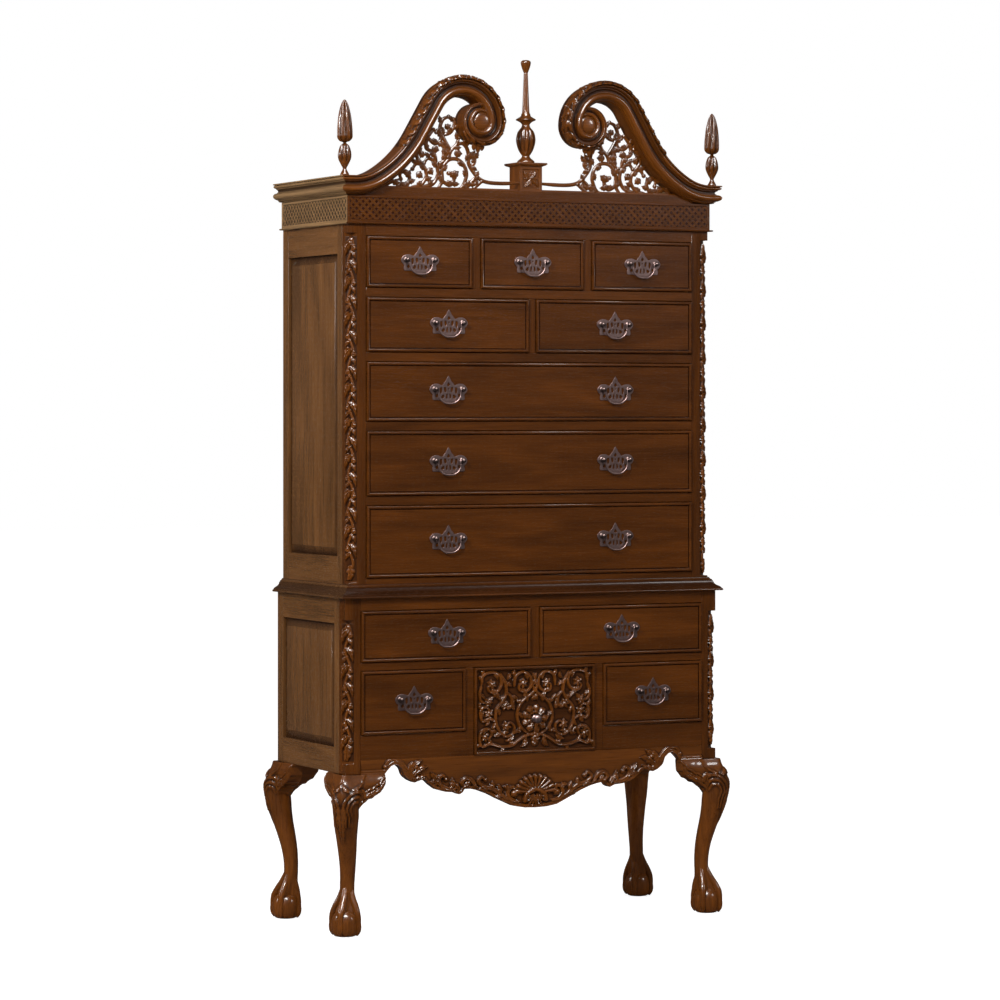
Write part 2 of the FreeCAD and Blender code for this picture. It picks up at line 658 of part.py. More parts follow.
inside_upper = ("-(upper_half - side_thick)", "upper_half - side_thick")
inside_base = ("-(base_half - side_thick)", "base_half - side_thick")
back_run = ("back_face", "back_y - back_rebate")
node(group("case_boards", [
    box("upper_bottom_board", inside_upper, ("upper_front + rail_deep", "back_face"),
        ("waist_z", "waist_z + board_thick")),
    box("upper_top_board", inside_upper, ("upper_front + rail_deep", "back_y"),
        ("case_top - board_thick", "case_top")),
    box("base_top_board", inside_base, ("base_front + rail_deep", "back_face"),
        ("waist_z - dust_thick", "waist_z"))]))
node(group("back_panels", [
    box("upper_back", inside_upper, back_run, ("waist_z", "case_top - board_thick")),
    box("base_back", inside_base, back_run, ("base_bottom + base_side_foot_rail", "waist_z")),
    box("base_back_rail", inside_base, ("back_face", "back_y"),
        ("base_bottom", "base_bottom + base_side_foot_rail"))]))


# ---------------------------------------------------------------- mouldings
def face_profile(out, tall):
    """A cornice face: (distance down from the top, how far it stands out) pairs, with an
    upper roll, a hollow and a lower roll."""
    return [(0, out * 0.94), (tall * 0.2, out), (tall * 0.44, out * 0.58),
            (tall * 0.74, out), (tall, out * 0.3)]


def waist_moulding():
    """An ogee carried round the front and both sides, mitred at the corners."""
    solid = body("waist_moulding")
    half = val("upper_half")
    base = val("waist_z")
    out = val("waist_out")
    tall = val("waist_tall")
    section = [(0, 0), (out, 0), (out, 0.12), (out * 0.9, 0.16), (out * 0.6, 0.26),
               (out * 0.36, 0.46), (out * 0.2, 0.72), (out * 0.12, 0.84), (out * 0.12, 1),
               (0, 1)]
    profile = sketch(solid, "waist_section", "XZ_Plane", "-back_y")
    points = [(-half - x, base + z * tall if 0 < z else base) for x, z in section]
    outline(profile, polygon(points))
    path = sketch(solid, "waist_path", "XY_Plane", "waist_z")
    back = val("back_y")
    front = val("upper_front")
    route = [(-half, back), (-half, front), (half, front), (half, back)]
    outline(path, list(zip(route, route[1:])))
    run = solid.newObject("PartDesign::AdditivePipe", "waist_run")
    run.Profile = profile
    run.Spine = (path, ["Edge1", "Edge2", "Edge3"])
    run.Transition = 1
    return node(solid)


def side_cornice():
    """The cornice along the left side, cut to a mitre at the front, and its twin."""
    solid = body("left_cornice")
    half = val("upper_half")
    top = val("cornice_z")
    out = val("cornice_out")
    tall = val("cornice_tall")
    front = val("upper_front")
    face = [(-half - stand, top - drop) for drop, stand in face_profile(out, tall)]
    profile = sketch(solid, "cornice_section", "XZ_Plane", "-back_y")
    outline(profile, polygon([(-half, top)] + face + [(-half, top - tall)]))
    pad(solid, profile, "back_y - upper_front + cornice_out")
    mitre = sketch(solid, "cornice_mitre", "XY_Plane", "cornice_z")
    spare = out + val("mitre_spare")
    outline(mitre, polygon([(-half, front), (-half, front - spare), (-half - spare, front - spare)]))
    pocket(solid, mitre, "cornice_tall")
    return node(group("side_cornices", [solid, mirrored("right_cornice", solid, (1, 0, 0))]))


def strip(name, length, tall):
    """A thin band with a sunk field for the lattice, lying in its own XZ plane."""
    solid = body(name)
    edge = "strip_edge"
    band = rectangle(sketch(solid, name + "_band", "XZ_Plane"),
                     (f"-({length}) / 2", f"({length}) / 2"), ("0", tall))
    pad(solid, band, "frieze_strip")
    field = rectangle(sketch(solid, name + "_field", "XZ_Plane", "frieze_strip"),
                      (f"-({length}) / 2 + {edge}", f"({length}) / 2 - {edge}"),
                      (edge, f"{tall} - {edge}"))
    pocket(solid, field, "strip_sunk")
    return solid


def frieze():
    """The board over the drawers, its lattice bands and the thin bead under them."""
    across = ("-(upper_field + front_gap)", "upper_field + front_gap")
    boards = [box("frieze_board", across, ("upper_front", "upper_front + rail_deep"),
                  ("frieze_z", "case_top"))]
    low = "frieze_z + bead_strip_tall"
    tall = "cornice_z - cornice_tall - frieze_z - bead_strip_tall"
    front = strip("front_lattice_band", "2 * (upper_half + frieze_strip)", tall)
    boards.append(placed(front, "0", "upper_front", low))
    side = strip("left_lattice_band", "back_y - upper_front", tall)
    boards.append(placed(side, "-upper_half", "(back_y + upper_front) / 2", low, -90))
    boards.append(mirrored("right_lattice_band", side, (1, 0, 0)))
    z = ("frieze_z", "frieze_z + bead_strip_tall")
    boards.append(box("front_bead", ("-(upper_half + bead_strip_out)",
                                     "upper_half + bead_strip_out"),
                      ("upper_front - bead_strip_out", "upper_front"), z))
    boards += both("side_bead", ("upper_half", "upper_half + bead_strip_out"),
                   ("upper_front", "back_y"), z)
    return node(group("frieze", boards))


waist_moulding()
side_cornice()
frieze()


# ---------------------------------------------------------------- scroll pediment
def swan_neck(inset, start=0):
    """Edges of the left swan-neck curve, moved inwards from its upper edge by inset:
    a flat, two rising arcs, a straight run and the arc that rolls over into the volute."""
    x = -val("cornice_half") - start
    z = val("cornice_z") - inset
    flat_end = -val("cornice_half - scroll_flat")
    edges = [((x, z), (flat_end, z))]
    heading = 0
    spot = (flat_end, z)
    for radius, turn in ((val("scroll_r1") + inset, val("scroll_angle_low")),
                         (val("scroll_r2") + inset, val("scroll_angle_high")),
                         (0, 0),
                         (inset - val("scroll_r3"), -90)):
        if radius == 0:
            run = val("scroll_run")
            angle = math.radians(heading)
            end = (spot[0] + run * math.cos(angle), spot[1] + run * math.sin(angle))
            edges.append((spot, end))
            spot = end
            continue
        start_angle = math.radians(heading)
        centre = (spot[0] - radius * math.sin(start_angle),
                  spot[1] + radius * math.cos(start_angle))
        points = [spot]
        for share in (0.5, 1):
            angle = math.radians(heading + (turn - heading) * share)
            points.append((centre[0] + radius * math.sin(angle),
                           centre[1] - radius * math.cos(angle)))
        edges.append(tuple(points))
        heading = turn
        spot = points[-1]
    return edges


def volute_centre():
    """Where the volute turns, level with the end of the swan-neck curve."""
    tip = swan_neck(0)[-1][-1]
    return tip[0] - val("volute_radius"), tip[1]


def scroll_band():
    """The moulded band swept along the swan-neck, mitred to the side cornice."""
    solid = body("left_scroll_band")
    spare = val("mitre_spare")
    top = val("cornice_z")
    half = val("upper_half")
    front = val("upper_front")
    deep = val("scroll_deep")
    face = [(front - stand, top - drop)
            for drop, stand in face_profile(val("cornice_out"), val("cornice_tall"))]
    back = front + deep
    profile = sketch(solid, "scroll_section", "YZ_Plane", "-cornice_half - mitre_spare")
    outline(profile, polygon([(back, top)] + face + [(back, top - val("cornice_tall"))]))
    path = sketch(solid, "scroll_path", "XZ_Plane")
    edges = swan_neck(0, spare)
    outline(path, edges)
    run = solid.newObject("PartDesign::AdditivePipe", "scroll_run_pipe")
    run.Profile = profile
    run.Spine = (path, [f"Edge{number}" for number in range(1, len(edges) + 1)])
    mitre = sketch(solid, "scroll_mitre", "XY_Plane", "cornice_z + mitre_spare")
    reach = val("cornice_out") + 2 * spare
    outline(mitre, polygon([(-half, front), (-half, back + spare), (-half - reach, back + spare),
                            (-half - reach, front - reach)]))
    pocket(solid, mitre, "cornice_tall + 2 * mitre_spare")
    seat = rectangle(sketch(solid, "scroll_seat", "XY_Plane", "case_top"),
                     ("-upper_half", "-0.5 * upper_half"),
                     ("upper_front", "upper_front + scroll_deep + mitre_spare"))
    pocket(solid, seat, "cornice_tall")
    return solid


def volute():
    """The turned eye of the scroll: the band's own face run round a proud boss."""
    solid = body("left_volute")
    radius = val("volute_radius")
    boss = val("boss_radius")
    proud = val("cornice_out + volute_proud")
    deep = val("scroll_deep")
    rolls = [(radius - drop, -stand) for drop, stand
             in face_profile(val("cornice_out"), val("cornice_tall"))]
    points = [(0, deep), (radius, deep)] + rolls[:-1]
    points += [(boss, -proud * 0.85), (boss * 0.7, -proud), (0, -proud)]
    turned(solid, outline(sketch(solid, "volute_section", "XY_Plane"), polygon(points)))
    centre = volute_centre()
    solid.Placement = Placement(Vector(centre[0], val("upper_front"), centre[1]), Rotation())
    return solid


def scrolls():
    left = doc.addObject("Part::Fuse", "left_scroll")
    left.Label = "left_scroll"
    left.Base = scroll_band()
    left.Tool = volute()
    left.Refine = True
    node(left)
    node(mirrored("right_scroll", left, (1, 0, 0)))


def fret_holes():
    """Openings between the vines: (across, up, size, turn).  Across is a share of the way
    from the volute's centre to the thin end; up and size are shares of its height over the
    case top."""
    return [(0.863, 0.087, 0.045, 0), (0.767, 0.145, 0.068, 10), (0.64, 0.122, 0.074, 40),
            (0.646, 0.35, 0.073, 70), (0.521, 0.193, 0.088, 20), (0.506, 0.46, 0.105, 50),
            (0.409, 0.726, 0.095, 80), (0.362, 0.25, 0.105, 0), (0.334, 0.946, 0.068, 40),
            (0.295, 0.53, 0.095, 30), (0.224, 0.193, 0.098, 60), (0.157, 0.446, 0.088, 10),
            (0.233, 0.763, 0.064, 50), (0.084, 0.145, 0.074, 20)]


def fret():
    """The pierced vine board under the left scroll, running on as a rail to the plinth."""
    solid = body("left_fret")
    drop = val("cornice_tall")
    foot = val("case_top")
    inner = swan_neck(drop)
    centre = volute_centre()
    radius = val("volute_radius")
    roll = inner[-1]
    hub = (centre[0] + radius - val("scroll_r3"), centre[1])
    lip_radius = val("scroll_r3") - drop
    lip_angle = 35

    def on_lip(angle):
        turn = math.radians(angle)
        return (hub[0] - lip_radius * math.sin(turn), hub[1] + lip_radius * math.cos(turn))

    def on_volute(angle):
        turn = math.radians(angle)
        return (centre[0] + radius * math.cos(turn), centre[1] + radius * math.sin(turn))

    def above_foot(across, up):
        return (centre[0] + radius * across, foot + radius * up)

    lip = on_lip(lip_angle)
    lip_half = on_lip((lip_angle + val("scroll_angle_high")) / 2)
    rail = val("fret_web")
    plinth = -val("plinth_wide / 2")
    start = inner[2][0]
    waist = above_foot(-0.32, 1.17)
    tendril = above_foot(0.51, 0.45)
    edges = [((start[0], foot), start), inner[2], inner[3], (roll[0], lip_half, lip),
             (lip, on_volute(170)), (on_volute(170), on_volute(203), on_volute(236)),
             (on_volute(236), waist), (waist, above_foot(-0.04, 0.65), tendril),
             (tendril, (plinth, tendril[1])), ((plinth, tendril[1]), (plinth, foot)),
             ((plinth, foot), (start[0], foot))]
    drawing = outline(sketch(solid, "fret_outline", "XZ_Plane",
                             "-(upper_front + fret_back + fret_thick)"), edges)
    slot_x = (plinth - rail, centre[0] + radius * 0.2)
    slot_z = (foot + rail, tendril[1] - rail)
    outline(drawing, polygon([(slot_x[0], slot_z[0]), (slot_x[0], slot_z[1]),
                              (slot_x[1], slot_z[1]), (slot_x[1], slot_z[0])]))
    reach = centre[0] - start[0]
    rise = centre[1] - foot
    for across, up, size, turn in fret_holes():
        outline(drawing, polygon([
            (centre[0] - reach * across + rise * size * math.cos(math.radians(turn + 72 * step)),
             foot + rise * up + rise * size * math.sin(math.radians(turn + 72 * step)))
            for step in range(5)]))
    pad(solid, drawing, "fret_thick")
    return node(group("pediment_fret", [solid, mirrored("right_fret", solid, (1, 0, 0))]))


scrolls()
fret()


# ---------------------------------------------------------------- plinth and finials
def plinth():
    """A small pedestal with a sunk front panel and a moulded cap."""
    solid = body("finial_plinth")
    wide = ("-plinth_wide / 2", "plinth_wide / 2")
    foot = rectangle(sketch(solid, "plinth_foot", "XY_Plane", "case_top"), wide,
                     ("plinth_y - plinth_wide / 2", "plinth_y + plinth_wide / 2"))
    pad(solid, foot, "plinth_tall")
    cap = rectangle(sketch(solid, "plinth_cap_plan", "XY_Plane", "plinth_top"),
                    ("-plinth_cap / 2", "plinth_cap / 2"),
                    ("plinth_y - plinth_cap / 2", "plinth_y + plinth_cap / 2"))
    pad(solid, cap, "cap_tall")
    panel = rectangle(sketch(solid, "plinth_panel", "XZ_Plane", "plinth_wide / 2 - plinth_y"),
                      ("-plinth_wide / 2 + strip_edge", "plinth_wide / 2 - strip_edge"),
                      ("case_top + strip_edge", "plinth_top - strip_edge"))
    pocket(solid, panel, "strip_sunk")
    return node(solid)


def finial(name, shares, radius, tall):
    """A finial worked in flats, from (share of height, share of radius) pairs."""
    sections = [(height * val(tall), share * val(radius)) for height, share in shares]
    return in_flats(name, sections, 10)


def centre_finial():
    """A low urn, a leafy collar and a tall thin spire."""
    shares = [(0, 0.9), (0.024, 0.9), (0.06, 0.46), (0.11, 0.74), (0.2, 1), (0.26, 1),
              (0.32, 0.76), (0.36, 0.42), (0.4, 0.56), (0.424, 1.04), (0.45, 0.6),
              (0.49, 0.38), (0.87, 0.2), (0.93, 0.46), (0.98, 0.52), (1, 0.3)]
    return node(placed(finial("centre_finial", shares, "finial_radius", "finial_tall"),
                       "0", "plinth_y", "finial_z"))


def corner_finials():
    """A small vase under a long bud, over each front corner."""
    shares = [(0, 0.68), (0.016, 0.68), (0.06, 0.32), (0.1, 0.32), (0.16, 0.7), (0.25, 1),
              (0.32, 0.96), (0.4, 0.28), (0.425, 0.28), (0.46, 0.98), (0.56, 1.03),
              (0.68, 0.96), (0.82, 0.78), (0.92, 0.48), (1, 0.08)]
    left = finial("left_finial", shares, "corner_finial_radius", "corner_finial_tall")
    placed(left, "-(upper_half + 0.43 * cornice_out)", "upper_front - 0.07 * cornice_out",
           "cornice_z")
    return node(group("corner_finials", [left, mirrored("right_finial", left, (1, 0, 0))]))


plinth()
centre_finial()
corner_finials()


# ---------------------------------------------------------------- legs
LEG_SIDES = 10


def leg_shaft():
    """A cabriole shaft in its own diagonal plane: X points outwards from the case's corner,
    and the foot stands on the origin.  It swells at the knee, is thinnest at the ankle and
    swings a little sideways on its way down."""
    corner = val("foot_in")
    knee = val("knee_radius")
    ankle = val("ankle_radius")
    head = val("base_bottom")
    knee_z = val("knee_z")
    ankle_z = val("ankle_z")
    span = knee_z - ankle_z
    knee_x = corner + val("knee_out") - knee
    ankle_x = corner - val("ankle_in")
    aside = -val("foot_side")
    sections = [(ankle_z * 0.44, ankle * 1.42, ankle_x + ankle * 0.53, 0),
                (ankle_z * 0.72, ankle * 1.06, ankle_x + ankle * 0.16, 0),
                (ankle_z, ankle, ankle_x, 0),
                (ankle_z + span * 0.3, ankle * 1.16, ankle_x + ankle * 0.53, aside * 0.2),
                (knee_z - span * 0.42, knee * 0.74, knee_x - knee * 0.39, aside * 0.6),
                (knee_z - span * 0.18, knee * 0.94, knee_x - knee * 0.11, aside * 0.9),
                (knee_z, knee, knee_x, aside),
                (knee_z + knee, knee * 0.95, corner - knee * 0.2, aside),
                (head - knee * 0.4, knee * 0.92, corner - knee * 0.6, aside)]
    return on_foot(in_flats("leg_shaft", sections, LEG_SIDES))


def claws():
    """Four talons that grip the ball, one on each of its sides."""
    solid = body("claws")
    ball = val("ball_radius")
    wrist = ball * 2.5
    cuff = sketch(solid, "claw_cuff", "XY_Plane", wrist)
    outline(cuff, polygon(ring(0, 0, ball * 0.5, LEG_SIDES)))
    pad(solid, cuff, "claw_radius", reverse=True)
    route = [(ball * 0.4, wrist), (ball * 0.72, ball * 1.95), (ball * 0.98, ball * 1.3),
             (ball * 1.02, ball * 0.7), (ball * 1.02, 0)]
    path = outline(sketch(solid, "claw_path", "XZ_Plane"), list(zip(route, route[1:])))
    section = sketch(solid, "claw_section", "XY_Plane", wrist)
    outline(section, polygon(ring(route[0][0], 0, val("claw_radius"), 6)))
    talon = solid.newObject("PartDesign::AdditivePipe", "claw")
    talon.Profile = section
    talon.Spine = (path, [f"Edge{number}" for number in range(1, len(route))])
    talon.Transition = 1
    pattern = solid.newObject("PartDesign::PolarPattern", "claw_pattern")
    pattern.Originals = [talon]
    pattern.Axis = (origin_plane(solid, "Z_Axis"), [""])
    pattern.Angle = 360
    pattern.Occurrences = 4
    solid.Tip = pattern
    return on_foot(solid)


def on_foot(solid):
    """Stand a piece of the right front leg on its place, turned to face outwards."""
    return placed(solid, "foot_x", "foot_y", "0", -45)


def foot_ball():
    """The ball under the claws, flattened where it stands on the floor."""
    ball = val("ball_radius")
    shares = [(0, 0.68), (0.25, 0.92), (0.72, 1), (1.15, 0.95), (1.7, 0.66)]
    return on_foot(in_flats("foot_ball", [(z * ball, r * ball) for z, r in shares],
                            LEG_SIDES))


def knee_ear():
    """The bracket that carries the right knee's curve out under the front."""
    solid = body("knee_ear")
    half = val("base_half")
    head = val("base_bottom")
    long = val("ear_long")
    tall = val("ear_tall")
    tip = (half - long * 0.924, head - tall)
    belly = (half - long * 0.724, head - tall * 1.67)
    foot = (half - long * 0.305, head - tall * 2.19)
    edges = [((half, head), (half - long, head)), ((half - long, head), tip),
             (tip, belly), (belly, foot), (foot, (half, foot[1])), ((half, foot[1]), (half, head))]
    drawing = outline(sketch(solid, "ear_outline", "XZ_Plane", "ear_bulge - base_front"), edges)
    pad(solid, drawing, "ear_thick", reverse=True)
    return solid


def legs():
    ear = knee_ear()
    corner = (val("base_half"), val("base_front"), 0)
    other_ear = mirrored("knee_ear_side", ear, (1, 1, 0), corner)
    block = box("knee_block", ("base_half - leg_block", "base_half + ear_bulge"),
                ("base_front - ear_bulge", "base_front + leg_block"),
                ("base_bottom - block_tall", "base_bottom"))
    whole = doc.addObject("Part::MultiFuse", "front_right_leg")
    whole.Label = "front_right_leg"
    whole.Shapes = [leg_shaft(), foot_ball(), claws(), block, ear, other_ear]
    front_left = mirrored("front_left_leg", whole, (1, 0, 0))
    back_right = mirrored("back_right_leg", whole, (0, 1, 0))
    back_left = mirrored("back_left_leg", front_left, (0, 1, 0))
    return node(group("cabriole_legs", [whole, front_left, back_right, back_left]))


legs()

# ---------------------------------------------------------------- check and write
doc.recompute()
for item in doc.Objects:
    if "Invalid" in item.State or "Error" in item.State:
        raise RuntimeError(f"{item.Label} failed: {item.State}")
os.makedirs("parts", exist_ok=True)
for piece in nodes:
    shape = piece.Shape
    if shape.isNull() or not shape.isValid() or not shape.Solids:
        raise RuntimeError(f"{piece.Label} has no sound shape")
    shape.exportStep(f"parts/{piece.Label}.step")
print(f"{len(nodes)} nodes, {sum(len(piece.Shape.Solids) for piece in nodes)} solids")
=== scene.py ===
"""Looks of a mahogany highboy: a chest on a base of drawers, with a carved scroll pediment
and ball-and-claw legs, dressed piece by piece over its CAD frame.

Lengths in this script are millimetres until a mesh is built, and metres in Blender.
The front faces -Y and +Z is up."""
import math

import bmesh
import bpy
import numpy as np
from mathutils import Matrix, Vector


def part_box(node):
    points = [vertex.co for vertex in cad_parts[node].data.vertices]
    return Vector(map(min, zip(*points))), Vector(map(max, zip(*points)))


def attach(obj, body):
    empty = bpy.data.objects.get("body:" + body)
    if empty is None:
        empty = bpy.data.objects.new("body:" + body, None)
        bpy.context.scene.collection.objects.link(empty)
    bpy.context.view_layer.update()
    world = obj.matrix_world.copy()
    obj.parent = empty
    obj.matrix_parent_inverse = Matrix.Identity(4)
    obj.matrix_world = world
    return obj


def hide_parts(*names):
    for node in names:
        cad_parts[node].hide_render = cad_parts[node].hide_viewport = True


bl_info = {
    "name": "Carved Highboy",
    "version": (1, 0, 0),
    "blender": (4, 5, 0),
    "location": "3D View > Sidebar > Highboy",
    "description": "Dresses the frame of a highboy in carved and polished mahogany",
    "category": "Object",
}

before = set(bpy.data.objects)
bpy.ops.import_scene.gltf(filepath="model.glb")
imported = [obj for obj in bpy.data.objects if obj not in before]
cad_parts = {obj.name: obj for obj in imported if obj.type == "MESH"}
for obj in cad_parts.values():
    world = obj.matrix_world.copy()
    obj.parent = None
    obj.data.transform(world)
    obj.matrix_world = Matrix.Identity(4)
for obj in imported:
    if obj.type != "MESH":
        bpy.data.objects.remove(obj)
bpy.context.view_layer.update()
MM = 0.001  # metres in a millimetre
TINY = 1e-6  # keeps a division away from nought
GRAIN_REACH = 400.0  # how far apart the grain of two boards may be read


def extent(node):
    """The lowest and highest corners of a CAD node, in millimetres."""
    low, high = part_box(node)
    return np.array(low) / MM, np.array(high) / MM


# ---------------------------------------------------------------- places, from the frame
DRAWERS = [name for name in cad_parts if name.endswith("_drawer")]
CARVED = "carved_centre_drawer"
UPPER_HALF = extent("upper_case_sides")[1][0]
BASE_HALF = extent("base_case_sides")[1][0]
UPPER_FRONT = extent("upper_face_frame")[0][1]
BASE_FRONT = extent("base_face_frame")[0][1]
BACK = -extent("corner_posts")[0][1]  # as far behind the origin as the posts are before it
WAIST_Z = extent("waist_moulding")[0][2]
CORNICE_TOP = extent("side_cornices")[1][2]
CORNICE_OUT, CORNICE_TALL = 28.0, 47.0
FRIEZE_Z, CASE_TOP = (corner[2] for corner in extent("frieze"))
PLINTH_LOW, PLINTH_HIGH = extent("finial_plinth")
PLINTH_Y = (PLINTH_LOW[1] + PLINTH_HIGH[1]) / 2


# ---------------------------------------------------------------- curves
def curve(points, count=40):
    """A smooth curve through the points (Catmull-Rom), read again at even steps of length."""
    knots = np.asarray(points, float)
    ends = np.vstack([2 * knots[0] - knots[1], knots, 2 * knots[-1] - knots[-2]])
    share = np.linspace(0, len(knots) - 1, 16 * len(knots))
    first = np.minimum(share.astype(int), len(knots) - 2)
    t = (share - first)[:, None]
    a, b, c, d = (ends[first + step] for step in range(4))
    fine = (2 * b + (c - a) * t + (2 * a - 5 * b + 4 * c - d) * t ** 2
            + (3 * b - a - 3 * c + d) * t ** 3) / 2
    return even(fine, count)


def run_of(line):
    """The length run along a line at each of its points."""
    return np.r_[0, np.cumsum(np.linalg.norm(np.diff(line, axis=0), axis=1))]


def even(line, count):
    """The same line read at even steps of its length."""
    run = run_of(line)
    marks = np.linspace(0, run[-1], count)
    return np.stack([np.interp(marks, run, column) for column in line.T], axis=1)


def spiral(centre, start, end, angle, turns, count):
    """A scroll's coil: the radius shrinks in equal ratios while the angle turns evenly."""
    share = np.linspace(0, 1, count)
    radius = start * (end / start) ** share
    theta = np.radians(angle) + 2 * np.pi * turns * share
    return np.stack([centre[0] + radius * np.cos(theta),
                     centre[1] + radius * np.sin(theta)], axis=1)


def circle(sides, wide, tall):
    """A closed section of so many sides, by its half width and half height."""
    theta = np.linspace(0, 2 * np.pi, sides, endpoint=False)
    return np.stack([wide * np.cos(theta), tall * np.sin(theta)], axis=1)


def unit(vectors):
    """Each vector at length 1."""
    return vectors / np.maximum(np.linalg.norm(vectors, axis=-1, keepdims=True), TINY)


def ray(angle):
    """The flat unit vector at an angle in radians."""
    return np.array([np.cos(angle), np.sin(angle)])


def left_of(ahead):
    """A flat vector turned a quarter to the left."""
    return np.array([-ahead[1], ahead[0]])


def upright(line, depth):
    """A line of (x, z) pairs, set up in space at one depth."""
    line = np.asarray(line, float)
    return np.stack([line[:, 0], np.full(len(line), float(depth)), line[:, 1]], axis=1)


def sweep(path, section, scale=1.0, facing=(0, -1, 0)):
    """A section carried along a path.  Its first number runs sideways, along path x facing,
    its second runs towards facing, and each ring is scaled by its own amount."""
    path = np.asarray(path, float)
    forward = unit(np.gradient(path, axis=0))
    side = unit(np.cross(forward, np.asarray(facing, float)))
    out = np.cross(side, forward)
    size = np.broadcast_to(np.asarray(scale, float), (len(path),))[:, None, None]
    section = np.asarray(section, float)
    return (path[:, None] + size * section[None, :, :1] * side[:, None]
            + size * section[None, :, 1:] * out[:, None])


def lathe(profile, centre, sides=40, forwards=False):
    """(radius, height) pairs turned about an axis through the centre, which stands upright
    or points forwards."""
    profile = np.asarray(profile, float)
    theta = np.linspace(0, 2 * np.pi, sides, endpoint=False)
    x = centre[0] + profile[:, :1] * np.cos(theta)
    turned = profile[:, :1] * np.sin(theta)
    height = np.repeat(profile[:, 1:], sides, axis=1)
    if forwards:
        return np.stack([x, centre[1] - height, centre[2] + turned], axis=2)
    return np.stack([x, centre[1] + turned, centre[2] + height], axis=2)


# ---------------------------------------------------------------- meshes
def net(rows, columns, ring):
    """The point numbers of a grid, and its faces; a ring's columns are joined end to end."""
    index = np.arange(rows * columns).reshape(rows, columns)
    if ring:
        index = np.hstack([index, index[:, :1]])
    quads = np.stack([index[:-1, :-1], index[:-1, 1:], index[1:, 1:], index[1:, :-1]], axis=-1)
    return index, quads.reshape(-1, 4)


def scatter(seed, reach):
    """Three shifts that jump about from one seed to the next: the reach times the sine of
    12.9898 seeds, at three phases."""
    return reach * np.sin(12.9898 * seed + np.array([0.0, 2.1, 4.2]))


